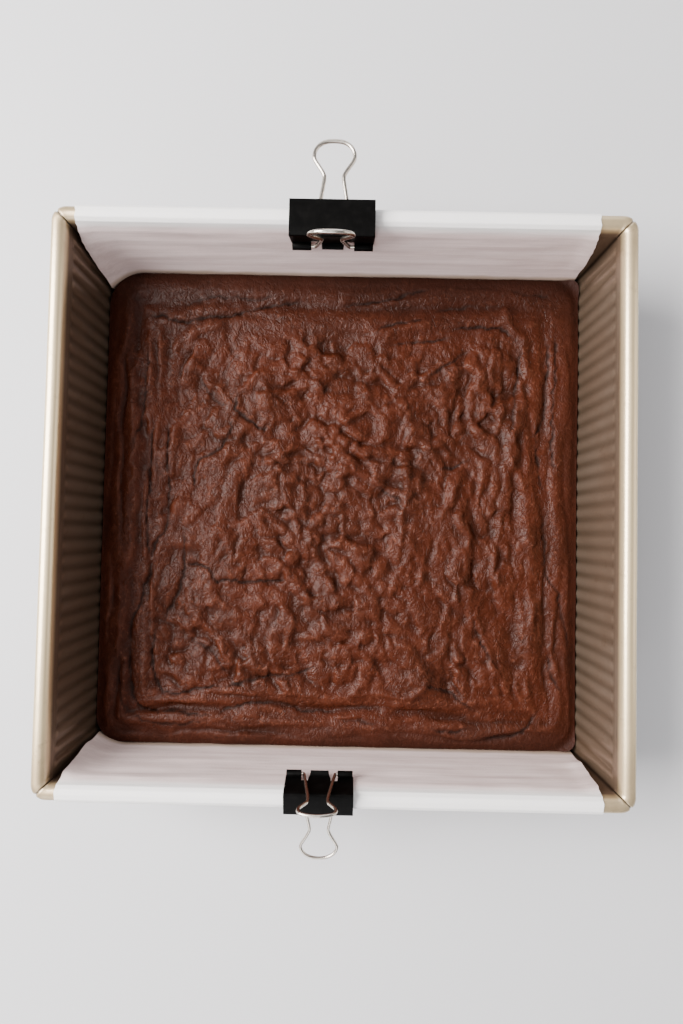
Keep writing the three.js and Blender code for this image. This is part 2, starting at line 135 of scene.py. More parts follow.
class Workbench:
    """Small steps of mesh making that every piece shares."""

    @staticmethod
    def clear() -> None:
        """Leaves edit mode and deselects everything."""
        if bpy.context.object and bpy.context.object.mode != "OBJECT":
            bpy.ops.object.mode_set(mode="OBJECT")
        bpy.ops.object.select_all(action="DESELECT")

    @classmethod
    def pick(cls, piece: Piece) -> None:
        """Selects one piece alone and makes it active."""
        cls.clear()
        piece.select_set(True)
        bpy.context.view_layer.objects.active = piece

    @classmethod
    def grid(cls, name: str, columns: int, rows: int) -> Piece:
        """Adds a flat grid from -1 to 1 each way.

        Args:
            name: The piece's name.
            columns: Cells along X.
            rows: Cells along Y.

        Returns:
            The new piece, alone in the selection.
        """
        cls.clear()
        bpy.ops.mesh.primitive_grid_add(x_subdivisions=columns, y_subdivisions=rows, size=2)
        piece = bpy.context.object
        piece.name = name
        piece.data.name = name
        return piece

    @staticmethod
    def places(piece: Piece) -> Array:
        """The piece's points as rows of x, y, z."""
        flat = np.empty(3 * len(piece.data.vertices), dtype=np.float64)
        piece.data.vertices.foreach_get("co", flat)
        return flat.reshape(-1, 3)

    @staticmethod
    def put(piece: Piece, places: Array) -> None:
        """Moves the piece's points to new places."""
        piece.data.vertices.foreach_set("co", places.astype(np.float32).ravel())
        piece.data.update()

    @staticmethod
    def store(piece: Piece, name: str, values: Array) -> None:
        """Keeps a value on each of the piece's points, for its finish to read."""
        layer = piece.data.attributes.new(name, "FLOAT", "POINT")
        layer.data.foreach_set("value", values.astype(np.float32))

    @staticmethod
    def count(spread: Array, last: int) -> Array:
        """Turns a grid's coordinates from -1 to 1 into row or column numbers from 0 to last."""
        return np.round((spread + 1) / 2 * last).astype(int)

    @classmethod
    def edit(cls, piece: Piece, step: Callable[[], Any]) -> None:
        """Runs one step in edit mode with everything selected."""
        cls.pick(piece)
        bpy.ops.object.mode_set(mode="EDIT")
        bpy.ops.mesh.select_all(action="SELECT")
        step()
        bpy.ops.object.mode_set(mode="OBJECT")

    @classmethod
    def weld(cls, piece: Piece, reach: float = 0.00001) -> None:
        """Merges doubled points and turns the faces outwards."""
        cls.edit(piece, lambda: bpy.ops.mesh.remove_doubles(threshold=reach))
        cls.edit(piece, lambda: bpy.ops.mesh.normals_make_consistent(inside=False))

    @classmethod
    def finish_with(cls, piece: Piece, kind: str, **settings: Any) -> None:
        """Adds a modifier with its settings and applies it."""
        cls.pick(piece)
        modifier = piece.modifiers.new(kind.title(), kind)
        for name, value in settings.items():
            setattr(modifier, name, value)
        bpy.ops.object.modifier_apply(modifier=modifier.name)

    @classmethod
    def drop_faces(cls, piece: Piece, unwanted: Sequence[bool]) -> None:
        """Deletes the marked faces in edit mode."""
        cls.pick(piece)
        bpy.ops.object.mode_set(mode="EDIT")
        bpy.ops.mesh.select_mode(type="FACE")
        bpy.ops.mesh.select_all(action="DESELECT")
        bpy.ops.object.mode_set(mode="OBJECT")
        piece.data.polygons.foreach_set("select", list(unwanted))
        bpy.ops.object.mode_set(mode="EDIT")
        bpy.ops.mesh.delete(type="FACE")
        bpy.ops.mesh.select_mode(type="VERT")
        bpy.ops.object.mode_set(mode="OBJECT")

    @classmethod
    def shade(cls, piece: Piece, degrees: float = 40) -> None:
        """Shades the piece smooth, except across sharp edges."""
        cls.pick(piece)
        bpy.ops.object.shade_smooth_by_angle(angle=math.radians(degrees))

    @classmethod
    def wire(cls, name: str, points: Sequence[Sequence[float]], radius: float) -> Piece:
        """Bends a round wire through points and makes it a mesh.

        Args:
            name: The piece's name.
            points: Places along the wire's middle, in metres.
            radius: The wire's radius, in metres.

        Returns:
            The wire, closed at both ends.
        """
        cls.clear()
        bpy.ops.curve.primitive_nurbs_path_add()
        piece = bpy.context.object
        piece.name = name
        spline = piece.data.splines[0]
        spline.points.add(len(points) - len(spline.points))
        for point, place in zip(spline.points, points):
            point.co = (*place, 1)
            point.radius = 1
        spline.order_u = 4
        spline.use_endpoint_u = True
        spline.resolution_u = 5
        piece.data.bevel_depth = radius
        piece.data.bevel_resolution = 4
        piece.data.use_fill_caps = True
        bpy.ops.object.convert(target="MESH")
        cls.weld(piece)
        return piece


class Link:
    """One shader socket that takes part in sums."""

    def __init__(self, graph: "Graph", socket: bpy.types.NodeSocket) -> None:
        """Keeps the socket and the graph that it belongs to."""
        self.graph = graph
        self.socket = socket

    def __add__(self, other: Any) -> "Link":
        """Sum."""
        return self.graph.maths("ADD", self, other)

    def __sub__(self, other: Any) -> "Link":
        """Difference."""
        return self.graph.maths("SUBTRACT", self, other)

    def __rsub__(self, other: Any) -> "Link":
        """Difference from a number."""
        return self.graph.maths("SUBTRACT", other, self)

    def __mul__(self, other: Any) -> "Link":
        """Product."""
        return self.graph.maths("MULTIPLY", self, other)

    __radd__ = __add__
    __rmul__ = __mul__

    def __abs__(self) -> "Link":
        """Size without sign."""
        return self.graph.maths("ABSOLUTE", self)

    def clamp(self) -> "Link":
        """The value kept from 0 to 1."""
        return self.graph.maths("ADD", self, 0.0, use_clamp=True)

    def ease(self, low: float, high: float) -> "Link":
        """0 at low, 1 at high, eased between."""
        settings = {"interpolation_type": "SMOOTHSTEP"}
        made = self.graph.node("ShaderNodeMapRange", settings, {0: self, 1: low, 2: high})
        return Link(self.graph, made.outputs[0])


class Graph:
    """A material's node tree, made one node at a time."""

    def __init__(self, name: str) -> None:
        """Starts a material with one Principled shader."""
        self.material = bpy.data.materials.new(name)
        self.material.use_nodes = True
        self.tree = self.material.node_tree
        self.shader = self.tree.nodes["Principled BSDF"]
        self.object_place = Link(self, self.node("ShaderNodeTexCoord", {}, {}).outputs["Object"])

    def node(self, kind: str, settings: dict[str, Any], inputs: dict[Any, Any]) -> bpy.types.Node:
        """Adds one node.

        Args:
            kind: The node's type.
            settings: The node's own properties.
            inputs: Values or links by socket name or number.

        Returns:
            The node.
        """
        made = self.tree.nodes.new(kind)
        for name, value in settings.items():
            setattr(made, name, value)
        for key, value in inputs.items():
            self.feed(made.inputs[key], value)
        return made

    def feed(self, socket: bpy.types.NodeSocket, value: Any) -> None:
        """Links or sets one socket."""
        if isinstance(value, Link):
            self.tree.links.new(value.socket, socket)
        elif socket.type == "RGBA" and len(value) == 3:
            socket.default_value = (*value, 1)
        else:
            socket.default_value = value

    def maths(self, operation: str, a: Any, b: Any = 0.0, **settings: Any) -> Link:
        """One Math node."""
        made = self.node("ShaderNodeMath", {"operation": operation, **settings}, {0: a, 1: b})
        return Link(self, made.outputs[0])

    def blend(self, share: Any, low: Any, high: Any) -> Link:
        """Mixes two colours."""
        made = self.node("ShaderNodeMix", {"data_type": "RGBA"}, {0: share, 6: low, 7: high})
        return Link(self, made.outputs[2])

    def stretched(self, scale: Sequence[float], turn: float = 0.0) -> Link:
        """Object coordinates, turned about Z and scaled along each axis."""
        inputs = {"Vector": self.object_place, "Rotation": (0, 0, turn), "Scale": tuple(scale)}
        return Link(self, self.node("ShaderNodeMapping", {}, inputs).outputs[0])

    def noise(self, place: Link, scale: float, detail: float, rough: float, warp: float = 0) -> Link:
        """Fractal noise from 0 to 1."""
        inputs = {"Vector": place, "Scale": scale, "Detail": detail, "Roughness": rough, "Distortion": warp}
        return Link(self, self.node("ShaderNodeTexNoise", {}, inputs).outputs[0])

    def attribute(self, name: str) -> Link:
        """A value stored on the piece's points."""
        return Link(self, self.node("ShaderNodeAttribute", {"attribute_name": name}, {}).outputs["Fac"])

    def part(self, vector: Link, axis: str) -> Link:
        """One component of a vector."""
        return Link(self, self.node("ShaderNodeSeparateXYZ", {}, {0: vector}).outputs[axis])

    def relief(self, height: Link, distance: float) -> None:
        """Feeds a bump of the given height, in metres, to the shader's normal."""
        made = self.node("ShaderNodeBump", {}, {"Strength": 1.0, "Distance": distance, "Height": height})
        self.feed(self.shader.inputs["Normal"], Link(self, made.outputs[0]))

    def set(self, **inputs: Any) -> bpy.types.Material:
        """Feeds the shader's sockets by name, underscores for spaces, and gives the material."""
        for name, value in inputs.items():
            self.feed(self.shader.inputs[name.replace("_", " ")], value)
        return self.material


@dataclass(frozen=True)
class CrustFinish:
    """Baked chocolate crust: a paler satin skin with painted sheen, painted shade in its creases and by the
    tin's walls, dull and porous near the walls.
    """

    # The darkest brown: painted shade in hollows, cracks and at the edge, and the far and near sides
    deep_brown_and_shade: Triple = (0.0095, 0.0030, 0.0016)
    body: Triple = (0.0350, 0.0071, 0.0023)
    warm: Triple = (0.0465, 0.0091, 0.0031)
    # Paler skin of the crust, laid on also as a painted sheen
    skin_and_sheen: Triple = (0.0890, 0.0245, 0.0125)
    fleck: Triple = (0.1450, 0.0500, 0.0290)
    roughness: float = 0.36
    index: float = 1.225
    relief_height: float = 0.00056
    # Painted light and sheen towards -X: none from the first X, full at the second
    left_light_from: float = 0.0
    left_light_to: float = -0.07
    far_band: Pair = (0.062, 0.094)
    near_band: Pair = (-0.082, -0.099)

    def material(self) -> bpy.types.Material:
        """Builds the material."""
        graph = Graph("chocolate crust")
        place = graph.object_place
        crest, edge, crack = (graph.attribute(name) for name in ("crest", "edge", "crack"))
        streaks = graph.noise(graph.stretched((1, 0.72, 1), 0.12), 540, 4, 0.6, 0.7)
        flakes = graph.noise(graph.stretched((1, 0.72, 1), -0.3), 205, 4, 0.58, 1.4)
        wrinkles = abs(graph.noise(graph.stretched((1, 0.7, 1), 0.4), 300, 2, 0.5, 1.0) - 0.5)
        pores = graph.noise(place, 1250, 2, 0.6)
        # Share of the paler skin, with more on crests as a painted highlight
        plates = ((flakes - 0.46) * 2.6 + crest * 0.45 + (streaks - 0.5) * 0.6).clamp()
        tone = self.darkened(graph, self.skinned(graph, plates, crest, edge), crest, edge)
        # Painted shade in the cracks, which are narrower than the mesh can carve
        tone = graph.blend(crack * 0.9, tone, self.deep_brown_and_shade)
        rough = self.roughness + (streaks - 0.5) * 0.2 + edge * 0.22 - plates * 0.08 + crack * 0.3
        fine = streaks * 0.34 + flakes * 1.0 + pores * 0.08 - (1 - wrinkles * 12).clamp() * 0.2
        graph.relief(fine * (1 - edge * 0.4), self.relief_height)
        return graph.set(Base_Color=tone, Roughness=rough, IOR=self.index)

    def left_light(self, graph: Graph) -> Link:
        """How much painted light and sheen the crust gets towards -X, on the side of the main window."""
        return 1 - graph.part(graph.object_place, "X").ease(self.left_light_to, self.left_light_from)

    def skinned(self, graph: Graph, plates: Link, crest: Link, edge: Link) -> Link:
        """The crumb's own colour under the paler skin of the plates, with a painted sheen on crests and
        towards -X and painted shade near the edge, and its pale flecks.
        """
        place, left_light = graph.object_place, self.left_light(graph)
        tone = graph.blend(graph.noise(place, 42, 3, 0.6).ease(0.36, 0.66), self.body, self.warm)
        patchy = (graph.noise(place, 78, 2, 0.5) - 0.5) * 1.2
        # Painted sheen: more skin towards -X; painted shade: less skin near the edge
        satin = plates * (0.56 + left_light * 0.24 + patchy) * (1 - edge * (0.7 - left_light * 0.5))
        tone = graph.blend(satin.clamp(), tone, self.skin_and_sheen)
        flecks = ((graph.noise(graph.stretched((1, 0.8, 1), 0.5), 640, 3, 0.62, 0.5) - 0.57) * 7).clamp()
        return graph.blend(flecks * (0.42 + crest * 0.25 - edge * 0.2), tone, self.fleck)

    def darkened(self, graph: Graph, tone: Link, crest: Link, edge: Link) -> Link:
        """The colour made darker: painted shade in the hollows and at the edge, less of it towards -X, and
        darker along the far and near sides.
        """
        along = graph.part(graph.object_place, "Y")
        far, near = along.ease(*self.far_band), 1 - along.ease(*reversed(self.near_band))
        # Painted shade in the hollows
        hollow = (crest * -0.9 - 0.15).clamp()
        for share in (hollow * 0.55, edge * 0.18 * (1 - self.left_light(graph)), far * 0.5, near * 0.32):
            tone = graph.blend(share, tone, self.deep_brown_and_shade)
        return tone


@dataclass(frozen=True)
class GoldToneFinish:
    """Satin gold-tone coating, with painted shade in the ribs' grooves and a painted shadow line in the
    walls' inner corners, and browned in patches by many bakings.
    """

    coat: Triple = (0.235, 0.167, 0.118)
    pale: Triple = (0.295, 0.225, 0.170)
    rim: Triple = (0.800, 0.630, 0.380)
    # Painted shade for the ribs' grooves, also the darker mottle and the darkening towards the walls' foot
    groove: Triple = (0.098, 0.066, 0.040)
    browned: Triple = (0.120, 0.055, 0.022)
    # A dark joint along the rim's mitres and a painted shadow line in the walls' inner corners
    seam_and_corner_shadow: Triple = (0.020, 0.011, 0.006)
    wall_band: Pair = (0.017, 0.047)
    rim_band: Pair = (0.0522, 0.0548)
    roughness: float = 0.36
    coat_roughness: float = 0.16
    metal: float = 0.7
    relief_height: float = 0.00006

    def material(self) -> bpy.types.Material:
        """Builds the material."""
        graph = Graph("gold tone coating")
        place = graph.object_place
        patches = graph.noise(place, 26, 5, 0.65)
        grain = graph.noise(place, 900, 2, 0.5)
        specks = graph.noise(place, 170, 4, 0.7)
        corners, rib = graph.attribute("corner"), graph.attribute("rib")
        height = graph.part(place, "Z")
        low, on_rim = 1 - height.ease(*self.wall_band), height.ease(*self.rim_band)
        tone = graph.blend(patches.ease(0.38, 0.7), self.coat, self.pale)
        # Painted shade in the ribs' grooves, darker towards the foot of the walls, and darker mottle
        tone = graph.blend((rib * 0.5 + low * 0.3 + (patches - 0.5) * 0.6).clamp(), tone, self.groove)
        tone = graph.blend(on_rim * 0.95, tone, self.rim)
        stain = ((specks - 0.60) * 5).clamp() * 0.35 + (patches - 0.28).clamp() * corners * 1.6
        tone = graph.blend(stain.clamp(), tone, self.browned)
        # A dark joint along the rim's mitres and a painted shadow line in the walls' inner corners
        tone = graph.blend(graph.attribute("seam_and_corner_shadow") * 0.92, tone, self.seam_and_corner_shadow)
        rough = self.roughness + (patches - 0.5) * 0.2 + (grain - 0.5) * 0.1 + stain * 0.2
        graph.shader.inputs["Coat Roughness"].default_value = self.coat_roughness
        graph.relief(grain * 0.4 + specks * 0.6, self.relief_height)
        coated = 0.12 + on_rim * 0.7
        return graph.set(Base_Color=tone, Roughness=rough, Metallic=self.metal, Coat_Weight=coated)


@dataclass(frozen=True)
class ParchmentFinish:
    """Greaseproof paper: matt and pale, with faint streaks along the strip's width, painted light on the
    rim's top and a painted warm bounce from the slab inside the tin.
    """

    # The paper inside the tin, pinker and darker: a painted warm bounce from the slab, with the gold tin
    # showing through
    paper: Triple = (0.845, 0.695, 0.675)
    shade: Triple = (0.715, 0.565, 0.547)
    # The paper on the rim's top, brighter as painted light
    lit_crown: Triple = (0.97, 0.955, 0.945)
    grease: Triple = (0.42, 0.30, 0.22)
    lit_crown_band: Pair = (0.0510, 0.0560)
    roughness: float = 0.56
    relief_height: float = 0.00035

    def material(self) -> bpy.types.Material:
        """Builds the material."""
        graph = Graph("baking parchment")
        place = graph.object_place
        streaks = graph.noise(graph.stretched((0.06, 1, 1)), 420, 4, 0.6)
        clouds = graph.noise(place, 22, 4, 0.6)
        fibres = graph.noise(place, 1500, 2, 0.5)
        damp = graph.attribute("damp")
        tone = graph.blend((streaks * 0.6 + clouds * 0.4).ease(0.36, 0.66), self.shade, self.paper)
        # Painted light on the paper over the rim's top
        tone = graph.blend(graph.part(place, "Z").ease(*self.lit_crown_band) * 0.92, tone, self.lit_crown)
        tone = graph.blend((damp * (0.55 + clouds * 0.6)).clamp(), tone, self.grease)
        graph.relief(streaks * 0.55 + clouds * 0.9 + fibres * 0.12, self.relief_height)
        return graph.set(Base_Color=tone, Roughness=self.roughness + (fibres - 0.5) * 0.2)


@dataclass(frozen=True)
class BlackClipFinish:
    """Satin black enamel over sprung steel, a little greyer where it is rubbed."""

    enamel: Triple = (0.0009, 0.0008, 0.0007)
    rubbed: Triple = (0.0030, 0.0027, 0.0025)
    roughness: float = 0.46
    index: float = 1.15
    relief_height: float = 0.00003

    def material(self) -> bpy.types.Material:
        """Builds the material."""
        graph = Graph("black enamel")
        mottle = graph.noise(graph.object_place, 260, 4, 0.6)
        grain = graph.noise(graph.object_place, 3200, 2, 0.5)
        tone = graph.blend(mottle.ease(0.4, 0.8), self.enamel, self.rubbed)
        graph.relief(grain, self.relief_height)
        return graph.set(Base_Color=tone, Roughness=self.roughness + (mottle - 0.5) * 0.16, IOR=self.index)


@dataclass(frozen=True)
class BrightWireFinish:
    """Nickel-plated spring wire with faint draw marks."""

    nickel: Triple = (0.66, 0.60, 0.53)
    dull: Triple = (0.20, 0.155, 0.115)
    roughness: float = 0.25
    relief_height: float = 0.00002

    def material(self) -> bpy.types.Material:
        """Builds the material."""
        graph = Graph("nickel wire")
        marks = graph.noise(graph.object_place, 700, 4, 0.6)
        tone = graph.blend(marks.ease(0.45, 0.8) * 0.35, self.nickel, self.dull)
        graph.relief(marks, self.relief_height)
        return graph.set(Base_Color=tone, Roughness=self.roughness + (marks - 0.5) * 0.1, Metallic=1.0)


@dataclass(frozen=True)
class FloorFinish:
    """Plain pale worktop."""

    tone: Triple = (0.68, 0.675, 0.695)
    roughness: float = 0.6

    def material(self) -> bpy.types.Material:
        """Builds the material."""
        return Graph("pale floor").set(Base_Color=self.tone, Roughness=self.roughness)


@dataclass
class TinShape:
    """The tin's section, in millimetres, which the parchment and the slab follow."""

    mouth_half: float = 104.0
    mouth_z: float = 54.0
    flare: float = math.tan(math.radians(5))
    sheet: float = 0.9

    def inner_half(self, z: Any) -> Any:
        """Half the inner width at height z, halfway up a rib's depth."""
        return self.mouth_half - (self.mouth_z - z) * self.flare


def square_place(share: Array, half: Array, radius: Array) -> tuple[Array, Array]:
    """Places round a rounded square.

    Args:
        share: Place round the square from 0 to 4, each whole number a corner's diagonal.
        half: Half the square's width.
        radius: The corners' radius.

    Returns:
        x and y.
    """
    side = np.floor(share) % 4
    along = share - np.floor(share)
    straight = half - radius
    first = np.clip(along / CORNER_SHARE, 0, 1)
    last = np.clip((along - (1 - CORNER_SHARE)) / CORNER_SHARE, 0, 1)
    middle = np.clip((along - CORNER_SHARE) / (1 - 2 * CORNER_SHARE), 0, 1)
    angle = (first - 1) * math.pi / 4 + last * math.pi / 4
    run = straight * (2 * middle - 1) + radius * np.sin(angle)
    out = straight + radius * np.cos(angle)
    turn = side * math.pi / 2
    return out * np.cos(turn) - run * np.sin(turn), out * np.sin(turn) + run * np.cos(turn)


# Heights of the shell's rows in millimetres, close together where the wall bends and the ribs end
SHELL_LEVELS: list[float] = [
    *(0.0, 0.3, 0.6, 0.9, 1.25, 1.7, 2.4, 4.2, 4.6, 5.1, 5.6, 6.1),
    *np.linspace(8, 46, 8),
    *(47.9, 48.4, 48.9, 49.4, 49.8, 51.0, 52.4),
]

# The rolled rim's section, once round, as half width and height in millimetres
RIM_SECTION: list[Pair] = [
    *((103.68, 50.75), (103.76, 51.6), (103.94, 53.2), (104.2, 54.8), (104.75, 56.0), (105.7, 56.75)),
    *((107.0, 57.0), (108.4, 56.8), (109.4, 56.1), (109.9, 55.1), (110.0, 54.0), (109.85, 52.8)),
    *((109.2, 51.8), (108.2, 51.2), (107.0, 51.0), (105.6, 51.0), (104.9, 50.7), (104.3, 50.6)),
]

# Places from a corner to the middle of the rim's side, as shares of the side
RIM_SPOTS: list[float] = [
    *(0, 0.0015, 0.003, 0.005, 0.008, 0.012, 0.016, 0.021, 0.026, 0.031),
    *(0.04, 0.07, 0.12, 0.2, 0.3, 0.4, 0.5),
]


@dataclass
class Tin:
    """The folded tin: a ribbed shell, a rolled bead with mitred corners, and a flap by each corner."""

    shape: TinShape = field(default_factory=TinShape)
    rib_count: int = 35
    rib_depth: float = 0.65
    rib_low: float = 5.5
    rib_high: float = 48.5
    corner_radius: float = 1.3
    foot_bend: float = 2.0
    bead_half: float = 107.0
    bead_z: float = 54.0
    mitre_depth: float = 0.4
    flap_low: float = 6.6
    flap_high: float = 48.1
    flap_width: float = 44.0
    flap_thickness: float = 1.25

    def build(self, finish: bpy.types.Material) -> None:
        """Makes the tin's pieces and hangs them on the frame."""
        for piece in (self.shell(), self.bead(), *self.flaps()):
            piece.data.materials.append(finish)
            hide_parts("tin")
            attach(piece, ROOT)
            LOG.info("%s: %d faces", piece.name, len(piece.data.polygons))

    def rib(self, share: Array, z: Array) -> Array:
        """How far a rib stands out of the wall's mean plane, in millimetres."""
        along = share - np.floor(share)
        place = np.clip((along - CORNER_SHARE) / (1 - 2 * CORNER_SHARE), 0, 1)
        wave = np.cos(2 * math.pi * place * self.rib_count)
        shaped = np.sign(wave) * np.power(np.abs(wave), 0.7)
        fade = smooth(self.rib_low - 1.3, self.rib_low + 0.6, z)
        fade = fade * (1 - smooth(self.rib_high - 0.6, self.rib_high + 1.3, z))
        fade = fade * smooth(0, 0.012, place) * (1 - smooth(0.988, 1, place))
        depth = np.where(np.floor(share) % 2 < 1, self.rib_depth, 0.6 * self.rib_depth)
        return 0.5 * depth * shaped * fade

    def shell(self) -> Piece:
        """Base and walls from one grid wrapped into a square cup, thickened to sheet."""
        per_side = 4 + self.rib_count * 8
        last = len(SHELL_LEVELS) - 1
        piece = Workbench.grid("tin_shell", 4 * per_side, last)
        flat = Workbench.places(piece)
        share = (flat[:, 0] + 1) * 2
        z = np.array(SHELL_LEVELS)[Workbench.count(flat[:, 1], last)]
        radius = np.full_like(z, self.corner_radius + self.shape.sheet)
        half = self.shape.inner_half(z) + self.shape.sheet
        angle = np.arccos(np.clip(1 - z / self.foot_bend, 0, 1))
        half = np.where(z < self.foot_bend, half - self.foot_bend * (1 - np.sin(angle)), half)
        ribs = self.rib(share, z)
        x, y = square_place(share, half + ribs, radius)
        Workbench.put(piece, np.stack([x, y, z], axis=1) * MM)
        # Kept for painted shade in the ribs' grooves
        Workbench.store(piece, "rib", ribs / self.rib_depth + 0.5)
        Workbench.weld(piece)
        self.close_base(piece)
        Workbench.finish_with(piece, "SOLIDIFY", thickness=self.shape.sheet * MM, offset=-1.0)
        self.mark_corners(piece)
        Workbench.shade(piece, 50)
        return piece

    @staticmethod
    def close_base(piece: Piece) -> None:
        """Fills the open loop at the shell's foot with one flat face."""
        Workbench.pick(piece)
        bpy.ops.object.mode_set(mode="EDIT")
        bpy.ops.mesh.select_all(action="DESELECT")
        bpy.ops.object.mode_set(mode="OBJECT")
        for vertex in piece.data.vertices:
            vertex.select = vertex.co.z < 1e-6
        bpy.ops.object.mode_set(mode="EDIT")
        bpy.ops.mesh.edge_face_add()
        bpy.ops.mesh.select_all(action="SELECT")
        bpy.ops.mesh.normals_make_consistent(inside=False)
        bpy.ops.object.mode_set(mode="OBJECT")

    def bead(self) -> Piece:
        """The rolled rim, with a fine groove where it is mitred."""
        spots = RIM_SPOTS + [1 - value for value in reversed(RIM_SPOTS[:-1])]
        per_side, around = len(spots) - 1, len(RIM_SECTION)
        piece = Workbench.grid("tin_bead", 4 * per_side, around)
        flat = Workbench.places(piece)
        column = Workbench.count(flat[:, 0], 4 * per_side)
        share = column // per_side + np.array(spots)[column % per_side]
        half, z = np.array(RIM_SECTION)[Workbench.count(flat[:, 1], around) % around].T
        radius = 1.4 + np.maximum(half - self.shape.mouth_half, 0) * 0.72
        nearest = np.abs(share - np.round(share))
        groove = self.mitre_depth * np.exp(-((nearest / 0.0035) ** 2))
        sag = 0.12 * Noise.gradient(share * 5, z * 0, 3)
        half = half + (self.bead_half - half) * groove / 3 + sag
        z = z + (self.bead_z - z) * groove / 3
        x, y = square_place(share, half, radius)
        Workbench.put(piece, np.stack([x, y, z], axis=1) * MM)
        Workbench.weld(piece)
        self.mark_corners(piece)
        Workbench.shade(piece, 60)
        return piece

    def flaps(self) -> list[Piece]:
        """The four folded triangles that lie on the outside of the two walls without parchment."""
        return [self.flap(wall, end) for wall in (1, -1) for end in (1, -1)]

    def flap(self, wall: int, end: int) -> Piece:
        """Makes one flap.

        Args:
            wall: 1 for the +X wall, -1 for the -X wall.
            end: 1 for the corner at +Y, -1 for the one at -Y.

        Returns:
            The flap, thickened outwards.
        """
        low, high = self.flap_low, self.flap_high
        foot, corner = (self.shape.inner_half(z) - 0.35 for z in (low, high))
        tip = corner - self.flap_width
        run, z = np.array([(foot, low), (corner, high), (tip + 2.5, high - 3), (tip, high)]).T
        out = self.shape.inner_half(z) + self.shape.sheet - 0.2
        side, part = "right" if wall > 0 else "left", "far" if end > 0 else "near"
        piece = Workbench.grid(f"tin_flap_{side}_{part}", 1, 1)
        Workbench.put(piece, np.stack([wall * out, end * run, z], axis=1) * MM)
        Workbench.edit(piece, lambda: bpy.ops.mesh.subdivide(number_cuts=3))
        if piece.data.polygons[0].normal.x * wall < 0:
            Workbench.edit(piece, lambda: bpy.ops.mesh.flip_normals())
        Workbench.finish_with(piece, "SOLIDIFY", thickness=self.flap_thickness * MM, offset=1.0)
        Workbench.finish_with(piece, "BEVEL", width=0.3 * MM, segments=2, limit_method="ANGLE")
        self.mark_corners(piece)
        Workbench.shade(piece)
        return piece

    def mark_corners(self, piece: Piece) -> None:
        """Stores how near each point is to an upright corner, and to a corner's seam: a dark joint on the rim
        and a painted shadow line in the walls' inner corners.
        """
        x, y, z = np.abs(Workbench.places(piece)).T / MM
        away = np.hypot(106 - x, 106 - y)
        Workbench.store(piece, "corner", 1 - smooth(2, 26, away))
        beside = np.abs(x - y) / math.sqrt(2)
        width = np.where(z > 51.5, 0.3, 0.7)
        inner = np.maximum(x, y) < self.shape.inner_half(z) + 0.45
        seen = (z > 3) & (inner | (z > 50.5))
        Workbench.store(piece, "seam_and_corner_shadow", np.exp(-((beside / width) ** 2)) * seen)


